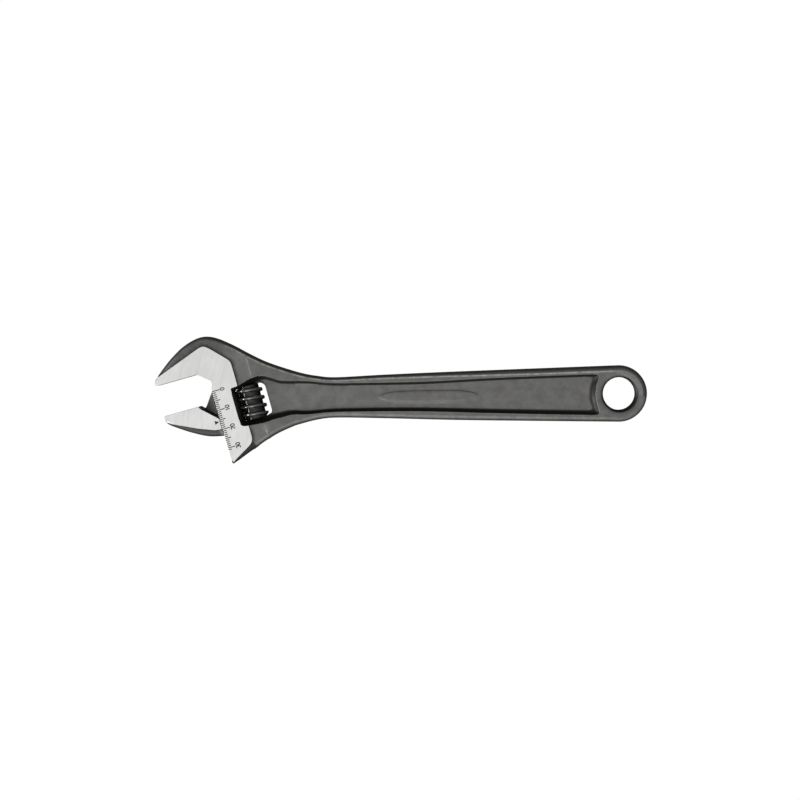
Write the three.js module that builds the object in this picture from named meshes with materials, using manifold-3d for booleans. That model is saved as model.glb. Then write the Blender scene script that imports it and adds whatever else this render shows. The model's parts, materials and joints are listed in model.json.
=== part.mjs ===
// Adjustable wrench of the ten-inch pattern, in millimetres.
//
// The wrench lies flat: +X runs along the handle from the head to the hang hole, +Y points to the
// fixed jaw's side and +Z is the thickness. The origin is the middle of the box's underside.
//
// Two inner frames share the middle plane. The handle frame has its origin at the hang hole. The
// head frame starts where the plate's front edge meets the fixed jaw's face: its X runs back
// along the jaw faces, and its Y runs along the slide, toward the fixed jaw.

import * as THREE from 'three';
import { mergeVertices } from 'three/addons/utils/BufferGeometryUtils.js';
import Module from 'manifold-3d';

const wasm = await Module();
wasm.setup();

// ---------------------------------------------------------------- driving dimensions

// Handle
const handleReach = 211.8;        // hang hole to the head frame's origin, along the handle
const headRise = 14.1;            // head frame's origin above the handle's centre line
const headAngle = THREE.MathUtils.degToRad(15);
const neckSetback = 66.8;         // head frame's origin back to the narrowest part
const neckWidth = 20.9;
const neckThickness = 10.6;
const gripWidth = 25.3;           // halfway from the neck to the hang hole's boss
const tailRadius = 14.6;
const tailArc = 92;               // degrees that the round tail turns, each way from the axis
const tailThickness = 8.6;
const webThickness = 4.2;         // floor left between the two pockets
const neckFlange = 3.4;           // rim beside the pocket, at the neck
const gripFlange = 4.8;           // halfway to the boss
const tailFlange = 5.2;           // at the boss
const bossWall = 5.2;             // metal between the hang hole and the pocket
const hangHoleRadius = 8.4;
const hangHoleChamfer = 1.6;      // width of the chamfer on its face
const chamferDepth = 1.2;

// Head
const headThickness = 15.5;       // across the ground faces
const groundStep = 0.35;          // the ground faces stand this far proud of the forged ones
const creaseSetback = 21.5;       // where the forged faces start to slope down to the handle
const slopeLength = 25;           // length of that slope
const crownHeight = 18.1;         // back of the fixed jaw above its face
const crownLine = [               // places behind the plate's front edge, with their share of it
  [-16, 0.65],
  [-8, 0.89],
  [0.8, 1],
  [8, 0.895],
  [16, 0.56],
  [24, 0.145],
];
const heelDrop = 49.4;            // lower end of the plate below the fixed jaw's face
const jawReach = 27.3;            // jaw tips ahead of the plate's front edge
const fixedTipHeight = 2.5;
const throatDepth = 9.5;          // fixed jaw's face down to the straight part of the plate
const plateWidth = 9.2;           // plate's front edge back to the window
const groundWidth = 13.3;         // plate's front edge back to the end of its ground face
const lowerEdgeAtPin = 43;        // lower edge of the head below the jaw face, at the pin

// Movable jaw
const restOpening = 16;           // opening that the wrench is shown at
const jawDepth = 18.2;            // movable jaw's face down to its heel
const jawFaceEnd = -8;            // back end of its face, where it slopes down to the web
const movableTipHeight = 3.2;
const jawWebThickness = 6;
const shankRadius = 5;
const shankSetback = 7.4;         // shank's axis behind the plate's front edge
const shankRise = 10;             // top of the shank above the movable jaw's face
const shankDrop = 20;             // bottom of the shank below it

// Knurl, its pin and its spring
const knurlPitch = 4.2;
const knurlTipRadius = 7.3;
const knurlRootRadius = 5.1;
const knurlLength = 17.2;
const knurlChamfer = 1.5;
const ridgeTipWidth = 1.2;
const ridgeBaseWidth = 2.1;
const threadPhase = 1.1;          // height of a crest above the knurl's middle, on its back side
const windowDrop = 12.2;          // fixed jaw's face down to the window's upper wall
const windowTaper = 0.1;          // that each of its walls has closed in by the knurl's shoulder
const pinRadius = 2;
const pinHeadRadius = 2.9;
const pinHeadLength = 8;
const pinHeadRecess = 1;
const pinSocketDepth = 6.3;       // blind hole above the window
const pinSlotWidth = 1;
const pinSlotDepth = 1.4;
const pinTipChamfer = 0.5;
const springWireRadius = 0.4;
const springRadius = 2.85;        // middle of the wire
const springTurns = 5;
const springSeatDepth = 6;        // counterbore in the knurl's lower end
const springSeatRadius = 3.75;

// Clearances
const slideGap = 0.3;             // movable jaw in its bore and slot, and beside the plate
const slotEndGap = 0.5;           // web and shank at the closed end of their travel
const pinGap = 0.3;
const thrustGap = 0.4;            // knurl's upper end to the window
const springPlay = 0.4;           // knurl's lower end to the window
const fingerGap = 2.3;            // knurl's back to the window
const meshGap = 0.4;              // knurl's root to the rack's tips
const rackRootGap = 0.3;          // knurl's tips to the rack's roots
const backlash = 0.35;            // each side of a ridge

// Fineness of round stretches
const splineSteps = 4;
const tailSegments = 20;
const roundSegments = 40;
const helixSegments = 32;
const wireSegments = 14;
const wireSides = 6;
const reach = 80;                 // long enough to run a cut right out of the wrench
const sunk = 0.5;                 // how far a piece is carried into the one that it joins

// ---------------------------------------------------------------- places worked out from them

const halfHead = headThickness / 2;
const halfForged = halfHead - groundStep;
const rackTip = shankSetback + shankRadius;
const knurlSetback = rackTip + meshGap + knurlRootRadius;
const rackRoot = knurlSetback - knurlTipRadius - rackRootGap;
const knurlTop = -windowDrop - thrustGap;
const knurlBottom = knurlTop - knurlLength;
const knurlMiddle = (knurlTop + knurlBottom) / 2;
const windowBottom = knurlBottom - springPlay;
const windowBack = knurlSetback + knurlTipRadius + fingerGap;
const pinBottom = pinHeadRecess - lowerEdgeAtPin;
const pinStep = pinBottom + pinHeadLength;
const pinTop = pinSocketDepth - windowDrop;

const neckX = neckSetback - handleReach;
const bossX = -hangHoleRadius - bossWall;
const gripX = (neckX + bossX) / 2;

const headMatrix = new THREE.Matrix4()
  .makeTranslation(-handleReach, headRise, 0)
  .multiply(new THREE.Matrix4().makeRotationZ(headAngle));

// ---------------------------------------------------------------- outlines

const at = (x, y) => new THREE.Vector2(x, y);

// A point of the head frame, in the handle frame.
function onHead(x, y) {
  const point = new THREE.Vector3(x, y, 0).applyMatrix4(headMatrix);
  return at(point.x, point.y);
}

// A smooth line through the given points.
function sweep(points, steps = splineSteps) {
  return new THREE.SplineCurve(points).getPoints(steps * (points.length - 1));
}

// An arc about (x, y), between two angles in degrees; it turns clockwise when the second is less.
function arc(x, y, radius, from, to, steps) {
  const start = THREE.MathUtils.degToRad(from);
  const end = THREE.MathUtils.degToRad(to);
  return new THREE.EllipseCurve(x, y, radius, radius, start, end, end < start).getPoints(steps);
}

// Where the handle's upper edge runs into the round tail.
function tailStart() {
  const angle = THREE.MathUtils.degToRad(tailArc);
  return at(tailRadius * Math.cos(angle), tailRadius * Math.sin(angle));
}

// Upper edge of the wrench, from the fixed jaw's tip over the crown to the tail.
function upperEdge() {
  const neckHalf = neckWidth / 2;
  return sweep([
    onHead(-jawReach, fixedTipHeight),
    onHead(-jawReach + 4, fixedTipHeight + 3.7),
    ...crownLine.map(([back, share]) => onHead(back, crownHeight * share)),
    onHead(creaseSetback + 10.5, -4.2),
    at(neckX - 20, neckHalf + 2.9),
    at(neckX - 10, neckHalf + 0.8),
    at(neckX, neckHalf),
    at(neckX + 25, neckHalf + 1),
    at(gripX, gripWidth / 2),
    tailStart(),
  ]);
}

// Lower edge of the wrench, from the tail back to the lower end of the plate.
function lowerEdge() {
  const neckHalf = neckWidth / 2;
  const start = tailStart();
  return sweep([
    at(start.x, -start.y),
    at(gripX, -gripWidth / 2),
    at(neckX + 25, -neckHalf - 0.7),
    at(neckX, -neckHalf),
    at(neckX - 10, -neckHalf - 0.8),
    at(neckX - 20, -neckHalf - 3.2),
    onHead(knurlSetback + 16, 3.8 - lowerEdgeAtPin),
    onHead(knurlSetback + 8, 2.5 - lowerEdgeAtPin),
    onHead(knurlSetback, -lowerEdgeAtPin),
    onHead(knurlSetback / 3, -lowerEdgeAtPin - 4.4),
    onHead(0, -heelDrop),
  ]);
}

// Whole outline of the forging, with the throat between the jaw face and the plate.
function bodyOutline() {
  const throat = [
    onHead(0, -throatDepth),
    onHead(1, 2.5 - throatDepth),
    onHead(1, -5),
    onHead(-5, 0),
    onHead(-jawReach, 0),
  ];
  return new THREE.Shape([
    ...upperEdge(),
    ...arc(0, 0, tailRadius, tailArc, -tailArc, tailSegments).slice(1, -1),
    ...lowerEdge(),
    ...throat,
  ]);
}

// Bright ground area of the body: it runs past the forging in front, and follows its own border
// behind.
function groundOutline() {
  const border = [
    onHead(-jawReach - 2, 2.6),
    onHead(-2.5, crownHeight - 5.9),
    onHead(0.5, crownHeight - 5),
    onHead(3.8, crownHeight - 6.3),
    onHead(groundWidth - 1.2, 3.4),
    onHead(groundWidth, 1),
    onHead(groundWidth, 4 - lowerEdgeAtPin),
    onHead(groundWidth - 1.2, 1.3 - lowerEdgeAtPin),
    onHead(0, -heelDrop + 0.5),
    onHead(-2, -heelDrop),
  ];
  return new THREE.Shape([...border, onHead(-jawReach - 2, -heelDrop)]);
}

// Pocket of the I-section, from the window to the hang hole's boss.
function pocketOutline() {
  const neckHalf = neckWidth / 2 - neckFlange;
  const gripHalf = gripWidth / 2 - gripFlange;
  const tailHalf = tailRadius - tailFlange;
  const upper = sweep([
    onHead(knurlSetback + 3, -windowDrop - 1),
    onHead(knurlSetback + 5, 1.7 - windowDrop),
    onHead(windowBack - 0.5, 1.5 - windowDrop),
    onHead(windowBack + 3.5, -windowDrop - 0.6),
    onHead(windowBack + 8.5, -windowDrop - 3.5),
    at(neckX - 18, neckHalf + 1.2),
    at(neckX, neckHalf),
    at(neckX + 25, neckHalf + 0.1),
    at(gripX, gripHalf),
    at(bossX, tailHalf),
  ], 3);
  const lower = sweep([
    at(bossX, -tailHalf),
    at(gripX, -gripHalf),
    at(neckX + 25, -neckHalf - 0.1),
    at(neckX, -neckHalf),
    at(neckX - 18, -neckHalf - 1),
    onHead(windowBack + 8.5, windowBottom - 1.7),
    onHead(windowBack, windowBottom - 1.4),
    onHead(knurlSetback + 5, windowBottom - 1.4),
    onHead(knurlSetback + 3, windowBottom + 1),
  ], 3);
  const boss = sweep([at(bossX, tailHalf), at(bossX - 1.6, 0), at(bossX, -tailHalf)], 4);
  return new THREE.Shape([...upper, ...boss.slice(1, -1), ...lower]);
}

// Window for the knurl, in the head frame. It narrows a little behind the knurl.
function windowOutline() {
  const shoulder = knurlSetback + knurlTipRadius - knurlChamfer;
  return new THREE.Shape([
    at(plateWidth, -windowDrop),
    at(plateWidth, windowBottom - windowTaper),
    at(shoulder, windowBottom + windowTaper),
    at(windowBack - 0.6, windowBottom + 1.1),
    at(windowBack, windowBottom + 2),
    at(windowBack, -windowDrop - 2.6),
    at(windowBack - 1.6, -windowDrop - 1),
    at(shoulder, -windowDrop - windowTaper),
  ]);
}

// Upper edge of the movable jaw's thin web, from the jaw's throat to the shank.
function webCrest() {
  return [
    at(-5, -0.8),
    at(-2, 3.5),
    at(0.5, 6.6),
    at(shankSetback - 4.2, shankRise - 0.6),
  ];
}

// Slot for the web, in the head frame, at the closed end of the jaw's travel.
function slotOutline() {
  const crest = webCrest().map((point) => at(point.x - slotEndGap, point.y + slotEndGap));
  return new THREE.Shape([
    at(crest[0].x, -reach),
    ...crest,
    at(shankSetback, shankRise + slotEndGap),
    at(shankSetback, -reach),
  ]);
}

// Thick part of the movable jaw, with its face on the X axis.
function jawOutline() {
  const heel = sweep([
    at(-slideGap, -jawDepth),
    at(-8, 1.9 - jawDepth),
    at(-16, 6 - jawDepth),
    at(-24, 11.4 - jawDepth),
    at(-jawReach + 0.4, -movableTipHeight - 1),
    at(-jawReach, -movableTipHeight + 0.8),
  ], 3);
  return new THREE.Shape([
    at(jawFaceEnd, 0),
    at(-slideGap, -7.4),
    ...heel,
    ...arc(1 - jawReach, -1, 1, 180, 90, 3),
  ]);
}

// Ground area of the movable jaw: all of it but the forged flank below this border.
function jawGroundOutline() {
  return new THREE.Shape([
    at(-jawReach - 2, 2),
    at(-jawReach - 2, -movableTipHeight - 0.6),
    at(-24, 12.7 - jawDepth),
    at(-12, 7.4 - jawDepth),
    at(-4, 4.3 - jawDepth),
    at(2, 3.4 - jawDepth),
    at(2, 2),
  ]);
}

// Thin web from the thick part of the jaw into the shank.
function webOutline() {
  return new THREE.Shape([
    at(jawFaceEnd, -0.4),
    ...webCrest(),
    at(shankSetback, shankRise - 0.6),
    at(shankSetback, -shankDrop),
    at(1, -shankDrop),
    at(0.3, -jawDepth),
    at(-4, 3 - jawDepth),
    at(-9, -3),
  ]);
}

// ---------------------------------------------------------------- solids

// A closed three.js geometry as a solid for joining and cutting.
function solid(geometry) {
  const bare = geometry.clone();
  bare.deleteAttribute('normal');
  bare.deleteAttribute('uv');
  const merged = mergeVertices(bare, 1e-4);
  const corners = merged.index.array;
  const kept = [];
  for (let i = 0; i < corners.length; i += 3) {
    const [a, b, c] = corners.slice(i, i + 3);
    if (a !== b && b !== c && c !== a) kept.push(a, b, c);
  }
  return new wasm.Manifold(new wasm.Mesh({
    numProp: 3,
    vertProperties: Float32Array.from(merged.attributes.position.array),
    triVerts: Uint32Array.from(kept),
  }));
}

// A solid as a named mesh with its own material.
function part(name, body, material) {
  const result = body.getMesh();
  const geometry = new THREE.BufferGeometry();
  geometry.setAttribute('position', new THREE.BufferAttribute(result.vertProperties, 3));
  geometry.setIndex(new THREE.BufferAttribute(result.triVerts, 1));
  geometry.computeVertexNormals();
  const mesh = new THREE.Mesh(geometry, new THREE.MeshStandardMaterial(material));
  mesh.name = name;
  return mesh;
}

// An outline drawn out along Z, between two heights.
function slab(outline, from, to, matrix = new THREE.Matrix4()) {
  const geometry = new THREE.ExtrudeGeometry(outline, { depth: to - from, bevelEnabled: false });
  geometry.translate(0, 0, from);
  return solid(geometry.applyMatrix4(matrix));
}

// A round bar along the head frame's Y axis, between two heights.
function bar(radius, x, from, to, matrix = new THREE.Matrix4()) {
  const geometry = new THREE.CylinderGeometry(radius, radius, to - from, roundSegments);
  geometry.translate(x, (from + to) / 2, 0);
  return solid(geometry.applyMatrix4(matrix));
}

// A turned shape about Y: its profile gives a radius and a height, from axis to axis.
function turned(profile) {
  const points = profile.map(([radius, height]) => at(radius, height));
  return new THREE.LatheGeometry(points, roundSegments);
}

// A straight rod bent into a left-hand helix about Y. The section lists a radius and a height
// for each corner; the helix starts behind and passes the given height at its middle.
function helix(section, pitch, turns, segments, middle) {
  const sides = section.length;
  const geometry = new THREE.CylinderGeometry(1, 1, 1, sides, Math.ceil(turns * segments));
  const position = geometry.attributes.position;
  const mean = [0, 1].map((k) => section.reduce((sum, corner) => sum + corner[k], 0) / sides);
  for (let i = 0; i < position.count; i += 1) {
    const x = position.getX(i);
    const z = position.getZ(i);
    const corner = Math.round((Math.atan2(x, z) / (2 * Math.PI)) * sides + sides) % sides;
    const [radius, height] = Math.hypot(x, z) < 0.5 ? mean : section[corner];
    const angle = position.getY(i) * turns * 2 * Math.PI;
    const rise = middle + (pitch * angle) / (2 * Math.PI) + height;
    position.setXYZ(i, radius * Math.cos(angle), rise, radius * Math.sin(angle));
  }
  return solid(geometry);
}

// Thickness of the forging seen from the side: a flat tail, a long taper to the neck, and on to
// the head.
function handleBar() {
  const tail = tailThickness / 2;
  const neck = neckThickness / 2;
  const overrun = neckX - 40;
  const side = new THREE.Shape([
    at(tailRadius + 2, -tail),
    at(tailRadius + 2, tail),
    at(bossX, tail),
    at(neckX, neck),
    at(overrun, neck),
    at(overrun, -neck),
    at(neckX, -neck),
    at(bossX, -tail),
  ]);
  return slab(side, -reach, reach, new THREE.Matrix4().makeRotationX(Math.PI / 2));
}

// Forged faces of the head, level as far as the crease and then sloping down to the handle.
function headWedge() {
  const slopeEnd = creaseSetback + slopeLength;
  const neck = neckThickness / 2;
  const side = new THREE.Shape([
    at(-reach, -halfForged),
    at(creaseSetback, -halfForged),
    at(slopeEnd, -neck),
    at(slopeEnd, neck),
    at(creaseSetback, halfForged),
    at(-reach, halfForged),
  ]);
  const upright = new THREE.Matrix4().makeRotationX(Math.PI / 2);
  return slab(side, -reach, reach, headMatrix.clone().multiply(upright));
}

function hangHole() {
  const flat = tailThickness / 2;
  const flare = hangHoleRadius + hangHoleChamfer * (1 + 1 / chamferDepth);
  const cutter = turned([
    [0, -flat - 1],
    [flare, -flat - 1],
    [hangHoleRadius, chamferDepth - flat],
    [hangHoleRadius, flat - chamferDepth],
    [flare, flat + 1],
    [0, flat + 1],
  ]);
  return solid(cutter.rotateX(Math.PI / 2));
}

// Every cut in the head: window, shank's bore, web's slot and the pin's stepped hole.
function headCuts() {
  const halfSlot = jawWebThickness / 2 + slideGap;
  const boreTop = shankRise + slotEndGap;
  const belowHead = -heelDrop - 10;
  return [
    slab(windowOutline(), -headThickness, headThickness, headMatrix),
    bar(shankRadius + slideGap, shankSetback, belowHead, boreTop, headMatrix),
    slab(slotOutline(), -halfSlot, halfSlot, headMatrix),
    bar(pinRadius + pinGap, knurlSetback, pinStep - pinGap, knurlMiddle, headMatrix),
    bar(pinRadius + pinGap, knurlSetback, knurlMiddle, pinTop + pinGap, headMatrix),
    bar(pinHeadRadius + pinGap, knurlSetback, belowHead, pinStep + pinGap, headMatrix),
  ];
}

// ---------------------------------------------------------------- the five pieces

function wrenchBody() {
  const pocket = pocketOutline();
  const floor = webThickness / 2;
  const thickness = handleBar()
    .add(headWedge())
    .add(slab(groundOutline(), -halfHead, halfHead));
  let body = slab(bodyOutline(), -headThickness, headThickness).intersect(thickness);
  body = body.subtract(slab(pocket, floor, headThickness));
  body = body.subtract(slab(pocket, -headThickness, -floor));
  body = body.subtract(hangHole());
  for (const cut of headCuts()) body = body.subtract(cut);
  return part('wrench_body', body, { color: 0x646460, roughness: 0.5, metalness: 0.85 });
}

// Rack grooves lie where the knurl's ridges pass the shank, tilted to the thread's lead.
function rackGrooves() {
  const meanRadius = (knurlTipRadius + knurlRootRadius) / 2;
  const tilt = knurlPitch / (2 * Math.PI * meanRadius);
  const shear = new THREE.Matrix4().set(1, 0, 0, 0, 0, 1, -tilt, 0, 0, 0, 1, 0, 0, 0, 0, 1);
  const rootHalf = ridgeTipWidth / 2 + backlash;
  const tipHalf = ridgeBaseWidth / 2 + backlash;
  const flare = (tipHalf - rootHalf) / (rackTip - rackRoot);
  const mouth = rackTip + 1;
  const mouthHalf = tipHalf + flare;
  const groove = new THREE.Shape([
    at(rackRoot, -rootHalf),
    at(mouth, -mouthHalf),
    at(mouth, mouthHalf),
    at(rackRoot, rootHalf),
  ]);
  const cutter = slab(groove, -shankRadius - 1, shankRadius + 1, shear);
  const crest = knurlMiddle + threadPhase + knurlPitch / 2 + restOpening;
  const overlap = mouthHalf + tilt * shankRadius;
  const first = Math.ceil((-shankDrop - overlap - crest) / knurlPitch);
  const last = Math.floor((shankRise + overlap - crest) / knurlPitch);
  const grooves = [];
  for (let k = first; k <= last; k += 1) {
    grooves.push(cutter.translate([0, crest + k * knurlPitch, 0]));
  }
  return grooves;
}

function movableJaw() {
  const halfWeb = jawWebThickness / 2;
  const thickness = slab(jawGroundOutline(), -halfHead, halfHead)
    .add(slab(jawOutline(), -halfForged, halfForged));
  let jaw = slab(jawOutline(), -headThickness, headThickness).intersect(thickness);
  jaw = jaw.add(slab(webOutline(), -halfWeb, halfWeb));
  jaw = jaw.add(bar(shankRadius, shankSetback, -shankDrop, shankRise));
  for (const groove of rackGrooves()) jaw = jaw.subtract(groove);
  const mesh = part('movable_jaw', jaw, { color: 0xa8a8a6, roughness: 0.4, metalness: 0.9 });
  mesh.position.set(0, -restOpening, 0);
  return mesh;
}

function knurl() {
  const half = knurlLength / 2;
  const shoulder = knurlTipRadius - knurlChamfer;
  const flank = (ridgeBaseWidth - ridgeTipWidth) / 2 / (knurlTipRadius - knurlRootRadius);
  const baseHalf = ridgeBaseWidth / 2 + flank * sunk;
  const crestRadius = knurlTipRadius + sunk;
  const crestHalf = ridgeTipWidth / 2 - flank * sunk;
  const ridge = [
    [knurlRootRadius - sunk, baseHalf],
    [knurlRootRadius - sunk, -baseHalf],
    [crestRadius, -crestHalf],
    [crestRadius, crestHalf],
  ];
  const turns = 2 * Math.ceil(half / knurlPitch + 0.5);
  const envelope = solid(turned([
    [0, -half],
    [shoulder, -half],
    [knurlTipRadius, knurlChamfer - half],
    [knurlTipRadius, half - knurlChamfer],
    [shoulder, half],
    [0, half],
  ]));
  const worm = bar(knurlRootRadius, 0, -half, half)
    .add(helix(ridge, knurlPitch, turns, helixSegments, threadPhase))
    .intersect(envelope)
    .subtract(bar(pinRadius + pinGap, 0, -half - 1, half + 1))
    .subtract(bar(springSeatRadius, 0, -half - 1, springSeatDepth - half));
  const mesh = part('knurl', worm, { color: 0x161616, roughness: 0.32, metalness: 0.8 });
  mesh.position.set(knurlSetback, knurlMiddle, 0);
  return mesh;
}

function knurlPin() {
  const pin = solid(turned([
    [0, pinBottom],
    [pinHeadRadius, pinBottom],
    [pinHeadRadius, pinStep],
    [pinRadius, pinStep],
    [pinRadius, pinTop - pinTipChamfer],
    [pinRadius - pinTipChamfer, pinTop],
    [0, pinTop],
  ]));
  const slot = new THREE.BoxGeometry(pinSlotWidth, 2 * pinSlotDepth, 4 * pinHeadRadius);
  slot.translate(0, pinBottom, 0);
  const material = { color: 0x3a3a3a, roughness: 0.45, metalness: 0.9 };
  const mesh = part('knurl_pin', pin.subtract(solid(slot)), material);
  mesh.position.set(knurlSetback, 0, 0);
  return mesh;
}

function knurlSpring() {
  const bottom = windowBottom + pinGap;
  const top = knurlBottom + springSeatDepth - pinGap;
  const section = Array.from({ length: wireSides }, (_, k) => {
    const angle = (2 * Math.PI * k) / wireSides;
    return [
      springRadius + springWireRadius * Math.cos(angle),
      springWireRadius * Math.sin(angle),
    ];
  });
  const pitch = (top - bottom - 2 * springWireRadius) / springTurns;
  const coil = helix(section, pitch, springTurns, wireSegments, 0);
  const mesh = part('knurl_spring', coil, { color: 0x8a8a88, roughness: 0.35, metalness: 0.95 });
  mesh.position.set(knurlSetback, (top + bottom) / 2, 0);
  return mesh;
}

// ---------------------------------------------------------------- the wrench

const head = new THREE.Group();
head.applyMatrix4(headMatrix);
head.add(movableJaw(), knurl(), knurlPin(), knurlSpring());

const wrench = new THREE.Group();
wrench.add(wrenchBody(), head);
wrench.updateMatrixWorld(true);

// The box's underside goes to z = 0, and its middle over the origin.
const box = new THREE.Box3().setFromObject(wrench, true);
const middle = box.getCenter(new THREE.Vector3());
wrench.position.set(-middle.x, -middle.y, -box.min.z);

export default wrench;
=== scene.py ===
"""Adjustable wrench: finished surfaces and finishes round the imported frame.

Lengths in this file are in millimetres and become metres when a mesh is made. Every shape is
worked out with numpy: a relief over a plan, a grid of two parameters, or a profile carried
along a path.
"""

from __future__ import annotations

import json
import logging
import math
from collections.abc import Callable, Sequence
from dataclasses import dataclass, field
from enum import Enum

import bmesh
import bpy
import numpy as np
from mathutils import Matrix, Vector
from mathutils.geometry import delaunay_2d_cdt

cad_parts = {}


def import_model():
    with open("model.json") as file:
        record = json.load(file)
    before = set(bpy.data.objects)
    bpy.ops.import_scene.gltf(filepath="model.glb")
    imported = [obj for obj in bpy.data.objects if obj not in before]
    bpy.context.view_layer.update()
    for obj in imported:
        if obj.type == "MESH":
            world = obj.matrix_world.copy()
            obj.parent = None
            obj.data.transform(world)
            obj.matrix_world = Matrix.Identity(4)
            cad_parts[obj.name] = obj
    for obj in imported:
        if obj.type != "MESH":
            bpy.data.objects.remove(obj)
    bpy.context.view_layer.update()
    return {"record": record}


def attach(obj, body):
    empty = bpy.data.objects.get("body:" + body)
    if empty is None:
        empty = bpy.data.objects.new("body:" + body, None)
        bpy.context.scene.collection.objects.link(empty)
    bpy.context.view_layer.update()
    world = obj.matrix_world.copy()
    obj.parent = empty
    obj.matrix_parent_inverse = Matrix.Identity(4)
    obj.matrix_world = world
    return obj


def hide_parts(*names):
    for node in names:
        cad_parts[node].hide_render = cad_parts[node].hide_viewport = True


MM = 0.001

# Points handled at once where every point meets every segment of a line.
BATCH = 3000
# Kept under a divisor that might be nought.
TINY = 1e-12
# Points of a mesh that lie nearer than this, in metres, are one.
MERGE_DISTANCE = 1e-7
# Points of a plan that lie nearer than this, in millimetres, are one.
PLAN_TOLERANCE = 1e-4
# The most of a side that the easing of a corner may take.
EASING_SHARE = 0.45
# How far a cutter runs on past the solid that it cuts.
OVERRUN = 80.0

log = logging.getLogger("wrench")


class Edge(Enum):
    """How the rim of a relief is finished where its outline runs."""

    FORGED = "forged"
    GROUND = "ground"
    SLOPED = "sloped"


# ------------------------------------------------------------------ plane geometry


def spline(points: list[tuple[float, float]], step: float) -> np.ndarray:
    """Gives a smooth line through points: on each span a cubic that leaves and arrives with
    half the chord of its two neighbours.

    Args:
        points: the line's points, (x, y).
        step: longest spacing of the result.

    Returns:
        An (n, 2) array, first and last point included.
    """
    knots = np.asarray(points, float)
    padded = np.vstack([knots[:1], knots, knots[-1:]])
    spans = []
    for k in range(len(knots) - 1):
        before, start, end, after = padded[k : k + 4]
        count = max(2, math.ceil(np.linalg.norm(end - start) / step))
        t = (np.arange(count) / count)[:, None]
        leave, arrive = (end - before) / 2, (after - start) / 2
        spans.append(
            start
            + leave * t
            + (3 * (end - start) - 2 * leave - arrive) * t**2
            + (2 * (start - end) + leave + arrive) * t**3
        )
    return np.vstack([*spans, knots[-1:]])


def rounded(points: np.ndarray, radius: float, closed: bool, steps: int = 5) -> np.ndarray:
    """Gives a line whose corners are eased by a parabola between two points set back from each
    corner.

    Args:
        points: corners, (n, 2).
        radius: set-back from a corner, held to EASING_SHARE of either side.
        closed: whether the last corner joins the first.
        steps: spans in each easing.

    Returns:
        An (m, 2) array.
    """
    corners = np.asarray(points, float)
    before, after = np.roll(corners, 1, 0), np.roll(corners, -1, 0)
    back, ahead = before - corners, after - corners
    back_length = np.linalg.norm(back, axis=1, keepdims=True)
    ahead_length = np.linalg.norm(ahead, axis=1, keepdims=True)
    start = corners + back / back_length * np.minimum(radius, EASING_SHARE * back_length)
    end = corners + ahead / ahead_length * np.minimum(radius, EASING_SHARE * ahead_length)
    t = np.linspace(0, 1, steps + 1)[None, :, None]
    eased = (
        start[:, None] * (1 - t) ** 2
        + 2 * corners[:, None] * t * (1 - t)
        + end[:, None] * t**2
    )
    if closed:
        return eased.reshape(-1, 2)
    return np.vstack([corners[:1], eased[1:-1].reshape(-1, 2), corners[-1:]])


def spaced(line: np.ndarray, step: float, closed: bool) -> np.ndarray:
    """Gives the same line with points at even spacing along it.

    Args:
        line: (n, 2) points.
        step: wanted spacing.
        closed: whether the last point joins the first.

    Returns:
        An (m, 2) array; on a closed line the first point isn't repeated.
    """
    path = np.vstack([line, line[:1]]) if closed else line
    along = np.concatenate([[0], np.cumsum(np.linalg.norm(np.diff(path, axis=0), axis=1))])
    count = max(2, round(along[-1] / step))
    wanted = np.linspace(0, along[-1], count + 1)
    if closed:
        wanted = wanted[:-1]
    return np.column_stack([np.interp(wanted, along, path[:, k]) for k in range(2)])


def arc(centre: np.ndarray, radius: float, start: float, end: float, steps: int) -> np.ndarray:
    """Gives points on a circle, centre + radius (cos a, sin a), for a between two angles.

    Args:
        centre: (x, y).
        radius: of the circle.
        start: first angle in degrees.
        end: last angle in degrees.
        steps: spans.

    Returns:
        A (steps + 1, 2) array.
    """
    a = np.radians(np.linspace(start, end, steps + 1))
    return np.asarray(centre) + radius * np.column_stack([np.cos(a), np.sin(a)])


def circle(centre: np.ndarray, radius: float, steps: int) -> np.ndarray:
    """Gives a closed circle of evenly spaced points, its first point not repeated."""
    return arc(centre, radius, 0, 360, steps)[:-1]


def whole_turn(steps: int) -> np.ndarray:
    """Gives evenly spaced angles in radians round a whole turn, the first not repeated."""
    return np.linspace(0, 2 * np.pi, steps, endpoint=False)


def length_of(line: np.ndarray) -> float:
    """Gives the length of an open line."""
    return np.linalg.norm(np.diff(line, axis=0), axis=1).sum()


def leftward(line: np.ndarray) -> np.ndarray:
    """Gives, at each point of an open line, the unit direction a quarter turn left of its run.

    Args:
        line: (n, 2) points.

    Returns:
        An (n, 2) array of directions.
    """
    run = np.gradient(line, axis=0)
    run /= np.linalg.norm(run, axis=1, keepdims=True)
    return np.column_stack([-run[:, 1], run[:, 0]])


def nearest(points: np.ndarray, line: np.ndarray, closed: bool) -> tuple[np.ndarray, np.ndarray]:
    """Gives each point's distance to a line, the least over its segments of the distance to the
    foot of the perpendicular kept within the segment.

    Args:
        points: (n, 2).
        line: (m, 2).
        closed: whether the last point joins the first.

    Returns:
        The distances, and the index of the nearest segment of each point.
    """
    start = line if closed else line[:-1]
    run = (np.roll(line, -1, 0) if closed else line[1:]) - start
    square = np.maximum((run**2).sum(1), TINY)
    distance, index = np.empty(len(points)), np.empty(len(points), int)
    for low in range(0, len(points), BATCH):
        offset = points[low : low + BATCH, None] - start[None]
        t = np.clip((offset * run).sum(2) / square, 0, 1)
        gap = ((offset - t[..., None] * run) ** 2).sum(2)
        best = gap.argmin(1)
        index[low : low + BATCH] = best
        distance[low : low + BATCH] = np.sqrt(gap[np.arange(len(best)), best])
    return distance, index


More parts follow.
